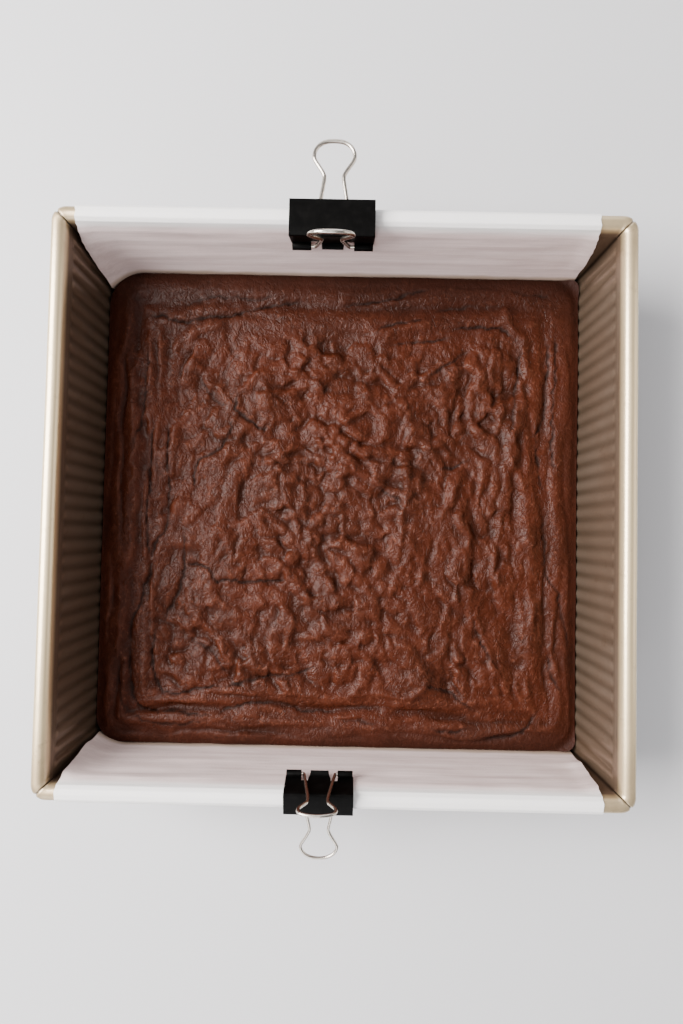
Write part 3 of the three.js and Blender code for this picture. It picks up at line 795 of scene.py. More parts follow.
@dataclass
class Parchment:
    """The strip of parchment, from one tail over the rim and through the tin to the other tail."""

    shape: TinShape = field(default_factory=TinShape)
    thickness: float = 0.16
    lift: float = 0.7
    floor_z: float = 1.35
    tail_half: float = 110.45
    tail_z: float = 37.0
    columns: int = 110
    rows: int = 250
    levels: tuple[float, ...] = (0, 6, 17, 30, 45, 53, 57)
    far_left: tuple[float, ...] = (-97.3, -98.8, -99.6, -100.4, -101.6, -101.2, -100.4)
    far_right: tuple[float, ...] = (97.3, 98.8, 98.7, 98.0, 97.0, 96.0, 95.2)
    near_left: tuple[float, ...] = (-97.3, -98.8, -98.9, -99.4, -99.9, -100.3, -100.4)
    near_right: tuple[float, ...] = (97.3, 98.8, 98.8, 98.4, 97.9, 97.6, 97.4)
    pull_levels: tuple[float, ...] = (3, 8, 17, 30, 45, 52)
    far_pull: tuple[float, ...] = (0, 5.0, 7.2, 4.4, 1.6, 0)
    near_pull: tuple[float, ...] = (0, 3.0, 4.6, 3.0, 1.2, 0)

    def half_section(self) -> list[Pair]:
        """The strip's middle line from the tin's centre to one tail, as y and z."""
        inner, foot = self.shape.inner_half, self.shape.inner_half(self.shape.sheet)
        line = [(half, self.floor_z) for half in (0.0, 60.0, foot - 2.2)]
        line += [(foot - 1.1, self.floor_z + 0.42)]
        line += [(inner(z) - self.lift, z) for z in (3.2, 8, 14, 22, 30, 38, 46, 50)]
        line += [(103.5, 53.3), (104.04, 55.82), (105.23, 57.16)]
        line += [(107.0, 57.45), (108.78, 57.15), (110.1, 55.83)]
        line += [(self.tail_half, z) for z in (54.0, 50.0, 44.0, self.tail_z)]
        return line

    def build(self, finish: bpy.types.Material) -> None:
        """Makes the strip and hangs it on the frame."""
        half = self.half_section()
        line = np.array([(-y, z) for y, z in reversed(half[1:])] + half)
        steps = np.concatenate([[0], np.cumsum(np.hypot(*np.diff(line, axis=0).T))])
        spots = self.row_spots(steps, line, self.rows)
        piece = Workbench.grid("parchment_strip", self.columns, self.rows)
        flat = Workbench.places(piece)
        across = (flat[:, 0] + 1) / 2
        row = Workbench.count(flat[:, 1], self.rows)
        y = np.interp(spots, steps, line[:, 0])[row]
        z = np.interp(spots, steps, line[:, 1])[row]
        run = spots[row]

        def either(levels: Sequence[float], far: Sequence[float], near: Sequence[float]) -> Array:
            """Reads a measure at each point's height from its own wall's list."""
            return np.where(y > 0, np.interp(z, levels, far), np.interp(z, levels, near))

        left = either(self.levels, self.far_left, self.near_left)
        right = either(self.levels, self.far_right, self.near_right)
        ragged = Noise.drift(run, run * 0, (0.45, 7, 4), (0.5, 2.2, 14)) * smooth(30, 48, z)
        x = left + (right - left) * across + ragged * (2 * across - 1)
        pull = either(self.pull_levels, self.far_pull, self.near_pull)
        curl = pull * np.clip((-x - 86.5) / 13, 0, 1) ** 1.8 * (np.abs(y) < 104.3)
        places = self.wrinkle(np.stack([x, y - np.sign(y) * curl, z], axis=1), across, run)
        Workbench.put(piece, places * MM)
        Workbench.edit(piece, lambda: bpy.ops.mesh.normals_make_consistent(inside=False))
        if piece.data.polygons[len(piece.data.polygons) // 2].normal.z < 0:
            Workbench.edit(piece, lambda: bpy.ops.mesh.flip_normals())
        Workbench.finish_with(piece, "SOLIDIFY", thickness=self.thickness * MM, offset=0.0)
        self.mark_damp(piece)
        Workbench.shade(piece, 60)
        piece.data.materials.append(finish)
        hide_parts("parchment")
        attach(piece, ROOT)
        LOG.info("%s: %d faces", piece.name, len(piece.data.polygons))

    @staticmethod
    def row_spots(steps: Array, line: Array, rows: int) -> Array:
        """Places along the strip, close together where it bends and far apart under the slab."""
        fine = np.linspace(0, steps[-1], 4000)
        height = np.interp(fine, steps, line[:, 1])
        density = 0.12 + smooth(6, 14, height) + 2.2 * smooth(49, 54, height)
        total = np.concatenate([[0], np.cumsum((density[1:] + density[:-1]) / 2)])
        return np.interp(np.linspace(0, total[-1], rows + 1), total, fine)

    @staticmethod
    def wrinkle(places: Array, across: Array, run: Array) -> Array:
        """Gives the wall parts soft waves, away from the clips, the slab and the tin."""
        x, y, z = places.T.copy()
        inside = (np.abs(y) < 104.3) & (z > 2)
        free = smooth(21, 32, z) * (1 - smooth(50, 55, z))
        waves = 0.34 * (1 + Noise.gradient(x / 52, run / 5.2, 8) + 0.8 * Noise.gradient(x / 18, run / 9, 12))
        side = np.sign(y)
        y = y - side * np.where(inside, np.clip(waves, 0, 1.6) * free, 0)
        corner = smooth(0.93, 1.0, np.abs(2 * across - 1))
        y = y - side * np.where(inside, 1.3 * corner * free * (0.6 + Noise.gradient(run / 15, x * 0, 5)), 0)
        tail = (np.abs(y) > 110.2) & (z < 50)
        swing = smooth(0, 13, 50 - z) * (0.25 + 0.5 * np.abs(Noise.gradient(x / 38, x * 0, 6)))
        held = np.minimum(np.abs(x + 4.7) / 30, 1)
        y = y + side * np.where(tail, swing * held, 0)
        return np.stack([x, y, z], axis=1)

    @staticmethod
    def mark_damp(piece: Piece) -> None:
        """Stores how greasy the paper is, close above the slab's edge."""
        places = Workbench.places(piece) / MM
        above = places[:, 2] - 17.0 + 0.9 * Noise.gradient(places[:, 0] / 9, places[:, 0] * 0, 9)
        Workbench.store(piece, "damp", (1 - smooth(0.5, 3.2, above)) * (np.abs(places[:, 1]) < 104))


# The crust's longer cracks as x and y in millimetres, each with its depth share and its own points
CRACKS: list[tuple[float, list[Pair]]] = [
    (1.0, [(-83, 80), (-76, 80), (-70, 78), (-65, 78), (-58, 80), (-48, 81), (-38, 84),
           (-28, 86), (-18, 88)]),
    (0.6, [(-68, 85), (-63, 87), (-55, 89), (-45, 89), (-38, 88), (-28, 90)]),
    (0.8, [(-82, 67), (-83, 55), (-83, 45), (-84, 37), (-86, 30), (-88, 23)]),
    (0.9, [(-79, 35), (-80, 29), (-80, 15), (-81, 1), (-81, -3), (-81, -10), (-80, -18), (-79, -23)]),
    (1.0, [(-44, 49), (-45, 41), (-37, 35), (-33, 32), (-30, 36)]),
    (0.6, [(-62, 56), (-57, 49), (-53, 44), (-46, 42)]),
    (0.9, [(-45, 39), (-47, 31), (-51, 24), (-60, 19), (-62, 12), (-61, 5)]),
    (0.8, [(-73, 36), (-73, 25), (-73, 15), (-72, 5), (-72, -2), (-73, -10), (-77, -16), (-79, -23)]),
    (0.8, [(-79, -23), (-79, -29), (-82, -34), (-83, -42), (-86, -49), (-87, -59)]),
    (0.8, [(-65, -11), (-65, -20), (-65, -26), (-66, -32), (-67, -37), (-71, -44), (-73, -50)]),
    (1.0, [(-65, -25), (-59, -25), (-55, -26), (-51, -32), (-47, -31), (-40, -32), (-25, -31), (-20, -31)]),
    (1.0, [(-76, -51), (-77, -60), (-77, -67), (-76, -73), (-72, -78), (-65, -79), (-58, -76), (-47, -75)]),
    (0.9, [(-47, -75), (-40, -74), (-31, -71), (-17, -70), (-8, -66)]),
    (1.0, [(-87, -59), (-86, -70), (-85, -79), (-81, -85), (-73, -87), (-67, -86), (-59, -87), (-49, -87)]),
    (0.9, [(-49, -87), (-43, -84), (-37, -82), (-30, -82), (-21, -82), (-14, -85), (0, -85)]),
    (0.6, [(-91, -67), (-90, -79), (-87, -86), (-80, -90), (-72, -91), (-63, -91), (-53, -89)]),
    (0.6, [(-62, -54), (-58, -58), (-52, -61), (-47, -68), (-44, -70)]),
    (0.9, [(-2, 86), (7, 87), (15, 88), (27, 91), (36, 94)]),
    (0.7, [(12, 74), (19, 78), (28, 80), (36, 81)]),
    (0.7, [(21, 70), (29, 71), (40, 72), (46, 74)]),
    (0.7, [(39, 85), (50, 86), (58, 88)]),
    (0.9, [(46, 77), (56, 78), (66, 78), (73, 73)]),
    (0.6, [(35, 56), (43, 61), (50, 66), (56, 69)]),
    (1.0, [(75, 68), (74, 58), (73, 48), (72, 38), (71, 32)]),
    (0.8, [(90, 76), (90, 64), (90, 55), (89, 45), (89, 35), (89, 25), (90, 16)]),
    (0.8, [(86, 74), (87, 63), (86, 45), (85, 39), (82, 32), (83, 22), (85, 8)]),
    (0.7, [(70, 94), (76, 93), (84, 92), (89, 90)]),
    (0.6, [(14, 10), (20, 7), (28, 3)]),
    (0.7, [(40, 18), (48, 18), (55, 22)]),
    (0.7, [(86, -1), (86, -10), (87, -26), (92, -34), (94, -44), (97, -57)]),
    (0.9, [(56, -44), (60, -54), (63, -60), (67, -65)]),
    (0.9, [(35, -72), (43, -75), (48, -76), (52, -80), (59, -84)]),
    (0.7, [(39, -91), (49, -92), (57, -90)]),
    (0.8, [(61, -95), (68, -94), (77, -92), (81, -88), (84, -83)]),
    (0.7, [(88, -57), (89, -66), (91, -70), (94, -76)]),
    (0.7, [(2, -83), (11, -83), (17, -83)]),
    (0.6, [(2, -88), (13, -89), (19, -89)]),
]

# The crust's plainest swells: height and half width, then points along the crest, in millimetres
SWELLS: list[tuple[float, float, list[Pair]]] = [
    (0.8, 2.4, [(-72, 67), (-67, 71), (-60, 75), (-53, 77)]),
    (0.5, 2.4, [(-75, 79), (-66, 82), (-58, 85), (-46, 86)]),
    (0.5, 1.6, [(-82, 71), (-82, 55), (-83, 39), (-87, 25)]),
    (0.9, 2.3, [(-87, 62), (-87, 30), (-87, 0), (-89, -25), (-90, -45), (-90, -60), (-88, -72)]),
    (0.9, 2.0, [(-63, 61), (-55, 52), (-48, 44)]),
    (1.0, 2.6, [(-44, 42), (-42, 50), (-37, 56), (-26, 57), (-20, 56)]),
    (0.8, 3.6, [(-57, 17), (-50, 23), (-45, 31), (-41, 34)]),
    (0.6, 3.0, [(-71, 34), (-70, 22), (-71, 11), (-69, 0)]),
    (0.6, 2.2, [(-33, 53), (-31, 42)]),
    (0.7, 2.2, [(-25, 23), (-26, 15)]),
    (1.1, 2.2, [(68, 86), (73, 76), (77, 68), (77, 57), (76, 48), (75, 38), (72, 31), (74, 20), (76, 11)]),
    (0.7, 1.6, [(66, 52), (68, 44), (66, 34)]),
    (0.8, 2.2, [(35, 56), (43, 62), (53, 63), (59, 58)]),
    (0.9, 2.4, [(38, 25), (44, 33), (53, 36), (59, 33)]),
    (1.0, 3.0, [(18, 36), (19, 32)]),
    (0.9, 3.2, [(3, 36), (4, 31)]),
    (0.7, 2.4, [(11, 50), (12, 48)]),
    (0.8, 2.4, [(15, 74), (25, 77), (35, 79)]),
    (0.8, 2.0, [(27, 19), (28, 7), (26, -1)]),
    (0.8, 2.0, [(50, 16), (47, 5), (44, -1)]),
    (0.7, 2.0, [(1, 18), (12, 13), (25, 6)]),
    (1.1, 2.2, [(51, -2), (54, -11), (54, -28)]),
    (0.9, 2.0, [(68, -1), (65, -14), (65, -30)]),
    (0.8, 2.0, [(36, -22), (34, -31)]),
    (0.8, 2.0, [(29, -24), (23, -33)]),
    (0.8, 2.0, [(82, -39), (81, -47)]),
    (0.8, 2.2, [(79, -8), (80, -12)]),
    (0.8, 1.8, [(58, -45), (63, -59), (67, -67)]),
    (0.6, 1.8, [(38, -73), (30, -80), (21, -84)]),
    (0.7, 1.8, [(77, -67), (80, -76)]),
    (0.5, 1.8, [(-64, -6), (-62, -17)]),
    (0.9, 2.6, [(-47, -12), (-45, -21), (-46, -29)]),
    (0.7, 2.2, [(-59, -47), (-48, -58), (-41, -69)]),
    (0.7, 2.6, [(-36, -62), (-34, -67)]),
    (0.6, 2.6, [(-66, -59), (-68, -70)]),
    (0.7, 2.0, [(-20, -13), (-22, -27)]),
    (0.6, 2.2, [(-32, -40), (-23, -42)]),
    (0.7, 2.2, [(-4, -31), (-1, -41)]),
]


@dataclass
class Slab:
    """The brownie: its crust, modelled fold by fold, and sides that lean with the tin's walls."""

    shape: TinShape = field(default_factory=TinShape)
    cells: int = 296
    top: float = 18.7
    edge_z: float = 17.0
    bottom: float = 1.8
    gap_x: float = 0.65
    gap_y: float = 1.25
    corner_radii: tuple[float, float, float, float] = (4.0, 5.0, 14.0, 11.0)

    def build(self, finish: bpy.types.Material) -> None:
        """Makes the slab and hangs it on the frame."""
        piece = Workbench.grid("brownie_slab", self.cells, self.cells)
        flat = Workbench.places(piece)
        s, t = flat[:, 0], flat[:, 1]
        half_x = self.shape.inner_half(self.edge_z) - self.gap_x
        half_y = self.shape.inner_half(self.edge_z) - self.gap_y
        x, y = self.round_corners(s * half_x, t * half_y, half_x, half_y)
        height, crack = self.crust(x, y)
        Workbench.put(piece, np.stack([x, y, height], axis=1) * MM)
        self.mark(piece, height, crack, x, y)
        self.add_sides(piece)
        Workbench.shade(piece, 70)
        piece.data.materials.append(finish)
        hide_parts("brownie")
        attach(piece, ROOT)
        LOG.info("%s: %d faces", piece.name, len(piece.data.polygons))

    def round_corners(self, x: Array, y: Array, half_x: float, half_y: float) -> tuple[Array, Array]:
        """Bends the grid's four corners round, each with its own radius."""
        right_far, right_near, left_far, left_near = self.corner_radii
        radius = np.where(x > 0, np.where(y > 0, right_far, right_near), np.where(y > 0, left_far, left_near))
        a, b = np.abs(x) - (half_x - radius), np.abs(y) - (half_y - radius)
        inside = (a > 0) & (b > 0)
        shrink = np.where(inside, np.maximum(a, b) / np.maximum(np.hypot(a, b), 1e-9), 1)
        new_x = np.where(inside, np.sign(x) * (half_x - radius + a * shrink), x)
        new_y = np.where(inside, np.sign(y) * (half_y - radius + b * shrink), y)
        return new_x, new_y

    def edge_distance(self, x: Array, y: Array, bend: float = 13) -> Array:
        """Distance in from the edge, on squares with well rounded corners."""
        half = self.shape.inner_half(self.edge_z) - self.gap_x
        straight = half - bend
        a, b = np.abs(x) - straight, np.abs(y) - straight
        reach = np.where((a > 0) & (b > 0), np.hypot(a, b), np.maximum(a, b))
        return half - straight - reach

    def broad_form(self, x: Array, y: Array) -> Array:
        """The slab's broad form, the same as the solid's but for a lower roll along the +X side."""
        distance = self.edge_distance(x, y)
        inwards = distance + 3 * (Noise.soft(x / 31, y / 31, 2) - 0.5)
        uneven = 0.5 + Noise.soft(x / 24, y / 24, 5)
        middle = np.clip((distance - 12) / 18, 0, 1)
        roll = 0.65 - 0.4 * smooth(72, 86, x)

        def hump(where: Array, place: float, spread: float) -> Array:
            """A rounded swelling at one distance."""
            return np.exp(-(((where - place) / spread) ** 2))

        return (
            self.top
            - 1.7 * hump(distance, 0, 3)
            + roll * hump(inwards, 9.5, 3.4) * uneven
            - 0.55 * hump(inwards, 15, 2.6) * uneven
            + 0.6 * hump(inwards, 21, 4) * (2 - uneven)
            + middle * 1.5 * (Noise.soft(x / 17, y / 25, 7) - 0.45)
            + 0.7 * (Noise.soft(x / 9, y / 12, 11) - 0.5)
        )

    def edge_folds(self, x: Array, y: Array, distance: Array) -> Array:
        """Long narrow strips of crust that run round with the edge, each with its own tilt."""
        inwards = distance + Noise.drift(x, y, (2.6, 26, 21), (1.0, 8, 22))
        beside = Noise.plates(inwards / 4.4 + 37 * np.sign(x), y / 34, 31, 1.5, 0.5, 11)
        along = Noise.plates(inwards / 4.4 + 53 * np.sign(y), x / 34, 33, 1.5, 0.5, 11)
        share = smooth(-12, 12, np.abs(x) - np.abs(y))
        return beside * share + along * (1 - share)

    def middle_folds(self, x: Array, y: Array) -> Array:
        """Puffed plates in the middle, drawn out along Y on the +X side and aslant on the -X side."""
        u = x + Noise.drift(x, y, (5.5, 24, 41), (1.8, 7, 42))
        v = y + Noise.drift(x, y, (5.5, 24, 43), (1.8, 7, 44))
        calm = smooth(-0.25, 0.3, Noise.gradient(x / 33, y / 33, 49) + 0.12 * (y < 0))
        right = smooth(22, 52, x)
        left = smooth(-22, -48, x) * smooth(-60, -20, y)
        folds = np.zeros_like(x)
        ways = (
            (1 - right - left, 1.0, 1.0, 0.15, 1.0),
            (right, 1.1, 0.58, 0.12, 0.9),
            (left, 0.95, 0.55, -0.28, 0.62),
        )
        for share, narrow, tall, lean, loud in ways:
            p, q = (u + lean * v) * narrow, v * tall
            large = Noise.plates(p / 13, q / 13, 45, 1.3, 0.7, 13)
            medium = Noise.plates(p / 6.0 + 9, q / 6.0, 46, 1.6, 1.1, 13)
            small = Noise.plates(p / 2.9 + 5, q / 3.3, 47, 1.4, 1.0, 8)
            finer = (1.15 - 0.5 * calm) * medium + (0.42 - 0.22 * calm) * small
            folds += share * (1.3 * large + loud * finer)
        return folds

    @staticmethod
    def nearest(x: Array, y: Array, points: Sequence[Pair]) -> tuple[Array, Array]:
        """Distances from a line.

        Args:
            x: Places, in millimetres.
            y: Places, in millimetres.
            points: The line's points.

        Returns:
            Distance to the line and distance to its nearer end.
        """
        away = np.full_like(x, 99.0)
        for (ax, ay), (bx, by) in zip(points, points[1:]):
            dx, dy = bx - ax, by - ay
            share = np.clip(((x - ax) * dx + (y - ay) * dy) / (dx * dx + dy * dy), 0, 1)
            away = np.minimum(away, np.hypot(x - ax - share * dx, y - ay - share * dy))
        ends = [np.hypot(x - end[0], y - end[1]) for end in (points[0], points[-1])]
        return away, np.minimum(*ends)

    def crack_field(self, x: Array, y: Array) -> tuple[Array, Array]:
        """Nearness to the longer cracks.

        Args:
            x: Places, in millimetres.
            y: Places, in millimetres.

        Returns:
            A narrow groove and a broad shoulder, each from 0 to 1.
        """
        shake_x = x + Noise.drift(x, y, (1.0, 2.6, 61), (0.9, 6, 63))
        shake_y = y + Noise.drift(x, y, (1.0, 2.6, 62), (0.9, 6, 64))
        broken = 0.55 + 0.45 * smooth(-0.3, 0.1, Noise.gradient(x / 5, y / 5, 65))
        groove, shoulder = np.zeros_like(x), np.zeros_like(x)
        for strength, points in CRACKS:
            away, ends = self.nearest(shake_x, shake_y, points)
            taper = strength * broken * (0.2 + 0.8 * smooth(0, 6, ends))
            groove = np.maximum(groove, taper * np.exp(-((away / 0.5) ** 2)))
            shoulder = np.maximum(shoulder, taper * np.exp(-away / 2.0))
        return groove, shoulder

    def swell_field(self, x: Array, y: Array) -> Array:
        """Height of the plainest swells, in millimetres."""
        shake_x = x + Noise.drift(x, y, (2.6, 7, 66))
        shake_y = y + Noise.drift(x, y, (2.6, 7, 67))
        height = np.zeros_like(x)
        for level, width, points in SWELLS:
            away, _ = self.nearest(shake_x, shake_y, points)
            height = np.maximum(height, level * np.exp(-((away / width) ** 2)))
        return height

    def crust(self, x: Array, y: Array) -> tuple[Array, Array]:
        """Height of the crust and depth of its cracks at each place, in millimetres and from 0 to 1."""
        distance = self.edge_distance(x, y)
        rim = 1 - smooth(19, 27, distance + 5 * Noise.gradient(x / 18, y / 18, 51))
        loud = 1.2 - 0.5 * smooth(70, 88, x)
        folds = rim * loud * self.edge_folds(x, y, distance) + (1 - rim) * self.middle_folds(x, y)
        quiet = 0.68 * smooth(64, 78, y)
        folds = folds * smooth(0, 6, distance) * (1 - quiet)
        fine = 0.09 * Noise.gradient(x / 1.5, y / 2.3, 71) + 0.12 * Noise.gradient(x / 2.7, y / 2.2, 72)
        groove, shoulder = self.crack_field(x, y)
        height = self.broad_form(x, y) + folds - 0.3 + fine + 1.2 * self.swell_field(x, y)
        return height - 0.75 * groove - (0.4 - 0.3 * smooth(72, 84, x)) * shoulder, groove

    def mark(self, piece: Piece, height: Array, crack: Array, x: Array, y: Array) -> None:
        """Stores on the points how far each is above its surroundings, near the edge, or in a crack."""
        count = self.cells + 1
        mean = height.reshape(count, count)
        for axis in (0, 1):
            padded = np.pad(mean, [(5, 5) if k == axis else (0, 0) for k in (0, 1)], mode="edge")
            mean = sum(np.take(padded, range(k, k + count), axis=axis) for k in range(11)) / 11
        crest = np.clip((height - mean.ravel()) / 0.6, -1, 1)
        edge = 1 - smooth(1.5, 13, self.edge_distance(x, y) + 1.5 * Noise.gradient(x / 9, y / 9, 81))
        # The finish reads these for painted shade in hollows, cracks and at the edge, and painted sheen on
        # crests
        for name, values in (("crest", crest), ("edge", edge), ("crack", np.clip(1.4 * crack, 0, 1))):
            Workbench.store(piece, name, values)

    def add_sides(self, piece: Piece) -> None:
        """Extrudes the crust's outline down the tin's walls to the foot and fills the underside."""
        Workbench.pick(piece)
        bpy.ops.object.mode_set(mode="EDIT")
        bpy.ops.mesh.select_mode(type="EDGE")
        bpy.ops.mesh.select_all(action="DESELECT")
        bpy.ops.mesh.select_non_manifold()
        before = self.edge_z
        for level, inset in ((13.8, 0.0), (9.0, 0.0), (4.4, 0.0), (2.6, 1.0), (self.bottom, 2.2)):
            bpy.ops.mesh.extrude_region_move()
            half = self.shape.inner_half(level) - self.gap_x - inset
            scale = half / (self.shape.inner_half(before) - self.gap_x)
            bpy.ops.transform.resize(value=(scale, scale, 1), center_override=(0, 0, 0))
            bpy.ops.object.mode_set(mode="OBJECT")
            for vertex in piece.data.vertices:
                if vertex.select:
                    vertex.co.z = level * MM
            bpy.ops.object.mode_set(mode="EDIT")
            before = level + inset / self.shape.flare
        bpy.ops.mesh.edge_face_add()
        bpy.ops.mesh.select_all(action="SELECT")
        bpy.ops.mesh.normals_make_consistent(inside=False)
        bpy.ops.mesh.select_mode(type="VERT")
        bpy.ops.object.mode_set(mode="OBJECT")


class Jaw(Enum):
    """Which of a clip's two jaws."""

    INNER = "inner"
    OUTER = "outer"


# Stands for a distance up the jaw on the clip's back, which is above any notch
SPINE_LEVEL = 99.0

# The curl's points are numbered downwards from -1; the tongues keep the first three
TONGUE_STEPS = 3


@dataclass
class SpringClip:
    """A folded strip of sprung steel with a rolled barrel at each jaw's ends, and two wire handles."""

    name: str
    side: int
    centre_x: float
    width: float
    strip: float
    barrel: float
    fold: list[Pair]
    notch: Pair
    notch_depth: float
    wire: float
    pin_end: float
    loop: list[Pair]
    loop_end: float
    turns: dict[Jaw, float]
    inner_loop: list[Pair] = field(default_factory=list)
    inner_loop_end: float = 0.0
    tongue_drop: float = 1.3
    tongue_flare: float = 2.2

    def build(self, enamel: bpy.types.Material, nickel: bpy.types.Material) -> None:
        """Makes the clip's body and handles and hangs them on the frame."""
        body = self.body()
        body.data.materials.append(enamel)
        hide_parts(f"{self.name}_clip_body")
        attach(body, ROOT)
        LOG.info("%s: %d faces", body.name, len(body.data.polygons))
        for jaw in Jaw:
            handle = self.handle(jaw)
            handle.data.materials.append(nickel)
            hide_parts(f"{self.name}_clip_{jaw.value}_handle")
            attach(handle, f"{self.name}_{jaw.value}_handle")
            LOG.info("%s: %d faces", handle.name, len(handle.data.polygons))

    def tip_frame(self, jaw: Jaw) -> tuple[Array, Array, Array]:
        """A jaw's tip, its direction upwards and its outward normal, as y and z."""
        tip, top = (self.fold[0], self.fold[1]) if jaw is Jaw.INNER else (self.fold[3], self.fold[2])
        up = np.array(top) - np.array(tip)
        up = up / np.hypot(*up)
        out = np.array([-up[1], up[0]]) if jaw is Jaw.INNER else np.array([up[1], -up[0]])
        return np.array(tip), up, out

    def barrel_centre(self, jaw: Jaw) -> Array:
        """Middle of the rolled barrel, as y and z."""
        tip, up, out = self.tip_frame(jaw)
        return tip + out * (self.barrel - self.strip) + up * 0.3

    def roll(self, jaw: Jaw) -> list[Pair]:
        """The barrel's curl from the jaw's tip, on the strip's middle surface."""
        centre = self.barrel_centre(jaw)
        _, up, out = self.tip_frame(jaw)
        radius = self.barrel - self.strip / 2
        points = []
        for k in range(1, 15):
            turn = math.radians(24 * k)
            spot = centre - out * radius * math.cos(turn) - up * radius * math.sin(turn)
            points.append((float(spot[0]), float(spot[1])))
        return points

    def section(self) -> tuple[list[Pair], list[float]]:
        """The strip's middle line from one curl's end to the other, and each point's distance up its jaw."""
        half = self.strip / 2
        line: list[Pair] = []
        levels: list[float] = []
        for jaw in Jaw:
            tip, up, out = self.tip_frame(jaw)
            top = np.array(self.fold[1] if jaw is Jaw.INNER else self.fold[2])
            length = float(np.hypot(*(top - tip)))
            ladder = [0.3, 1.2, 2.4, self.notch_depth, self.notch_depth + 0.4]
            ladder += [0.55 * length, 0.75 * length, length - 1.3]
            straight = [tuple(tip + up * level - out * half) for level in ladder]
            rolled = self.roll(jaw)
            curl = [(spot, -1.0 - k) for k, spot in reversed(list(enumerate(rolled)))]
            part = curl + [(spot, level) for spot, level in zip(straight, ladder)]
            if jaw is Jaw.OUTER:
                part = list(reversed(part))
            line += [tuple(map(float, spot)) for spot, _ in part]
            levels += [level for _, level in part]
            if jaw is Jaw.INNER:
                spine = self.spine()
                line += spine
                levels += [SPINE_LEVEL] * len(spine)
        return line, levels

    def spine(self) -> list[Pair]:
        """The back of the clip between its two eased folds."""
        _, up_in, out_in = self.tip_frame(Jaw.INNER)
        _, up_out, out_out = self.tip_frame(Jaw.OUTER)
        first, last = np.array(self.fold[1]), np.array(self.fold[2])
        run = (last - first) / np.hypot(*(last - first))
        rise = np.array([-run[1], run[0]])
        half = self.strip / 2
        bends = []
        for corner, up, out, way in ((first, up_in, out_in, run), (last, up_out, out_out, -run)):
            start, end = corner - up * 1.0 - out * half, corner + way * 1.0 - rise * half
            knee = corner - up * 0.25 + way * 0.25 - (out + rise) * half * 0.72
            bends.append([start, knee, end])
        back = [first + run * 4 - rise * half, last - run * 4 - rise * half]
        return [(float(spot[0]), float(spot[1])) for spot in bends[0] + back + bends[1][::-1]]

    def body(self) -> Piece:
        """Folds a flat grid into the clip's body, cuts its notches and gives it thickness."""
        line, levels = self.section()
        half = self.width / 2
        near, far = self.notch
        xs = [-half, -half + 0.25, -0.5 * (half + far), -far - 0.25, -far, -near, -near + 0.6, 0.0]
        xs = xs + [-value for value in reversed(xs[:-1])]
        piece = Workbench.grid(f"{self.name}_clip_strip", len(xs) - 1, len(line) - 1)
        flat = Workbench.places(piece)
        row = Workbench.count(flat[:, 1], len(line) - 1)
        x = np.array(xs)[Workbench.count(flat[:, 0], len(xs) - 1)]
        y, z = np.array(line)[row].T
        level = np.array(levels)[row]
        tongue = np.abs(x) <= near + 1e-6
        for jaw in Jaw:
            tip, up, out = self.tip_frame(jaw)
            for step in range(1, TONGUE_STEPS + 1):
                bow = self.tongue_flare * (step / TONGUE_STEPS) ** 2 - self.strip / 2
                spot = tip - up * step * self.tongue_drop / TONGUE_STEPS + out * bow
                own_jaw = (y < self.fold[1][0] + 4) == (jaw is Jaw.INNER)
                chosen = tongue & (level == -step) & own_jaw
                y, z = np.where(chosen, spot[0], y), np.where(chosen, spot[1], z)
        low = np.where(level < 0, self.tongue_drop * level / TONGUE_STEPS, level)
        spread = np.clip((low + self.tongue_drop) / (self.tongue_drop + 1.6), 0, 1)
        x_out = np.where(tongue & (level >= -TONGUE_STEPS), x * (0.8 + 0.2 * spread), x)
        Workbench.put(piece, np.stack([x_out, y, z], axis=1) * MM)
        unwanted = []
        for face in piece.data.polygons:
            spots = list(face.vertices)
            middle = abs(float(np.mean(x[spots])))
            lowest = float(np.min(level[spots]))
            cut = near < middle < far and lowest < self.notch_depth
            hidden = middle < near and lowest < -TONGUE_STEPS
            ends = middle > half - 0.25 and lowest < 0
            unwanted.append(cut or hidden or ends)
        Workbench.drop_faces(piece, unwanted)
        Workbench.finish_with(piece, "SOLIDIFY", thickness=self.strip * MM, offset=0.0)
        bevel = {"segments": 2, "limit_method": "ANGLE", "angle_limit": math.radians(50)}
        Workbench.finish_with(piece, "BEVEL", width=0.1 * MM, **bevel)
        self.settle(piece)
        Workbench.shade(piece, 45)
        return piece

    def handle(self, jaw: Jaw) -> Piece:
        """Bends one wire handle in its own plane and turns it to its place at rest."""
        own = jaw is Jaw.INNER and bool(self.inner_loop)
        loop, end = (self.inner_loop, self.inner_loop_end) if own else (self.loop, self.loop_end)
        half = [(self.pin_end, 0.0), (self.pin_end * 0.8, 0.0), (loop[0][0] + 1.5, 0.0)]
        half += [(loop[0][0] + 0.3, 0.1), *loop]
        left = [(-x, z) for x, z in half]
        path = left + [(0.0, end)] + [(x, z) for x, z in reversed(half)]
        turn = math.radians(self.turns[jaw])
        sin, cos = math.sin(turn), math.cos(turn)
        centre = self.barrel_centre(jaw)
        points = [(x * MM, (centre[0] - z * sin) * MM, (centre[1] + z * cos) * MM) for x, z in path]
        piece = Workbench.wire(f"{self.name}_clip_{jaw.value}_wire", self.tighten(points), self.wire * MM)
        self.settle(piece)
        Workbench.shade(piece, 60)
        return piece

    @staticmethod
    def tighten(points: Sequence[Sequence[float]]) -> list[tuple[float, ...]]:
        """Moves a spline's controls outwards, so that the curve itself passes near the given points."""
        given = np.array(points)
        controls = given.copy()
        for _ in range(6):
            passed = controls.copy()
            passed[1:-1] = (controls[:-2] + 4 * controls[1:-1] + controls[2:]) / 6
            controls[1:-1] += (given - passed)[1:-1]
        return [tuple(spot) for spot in controls]

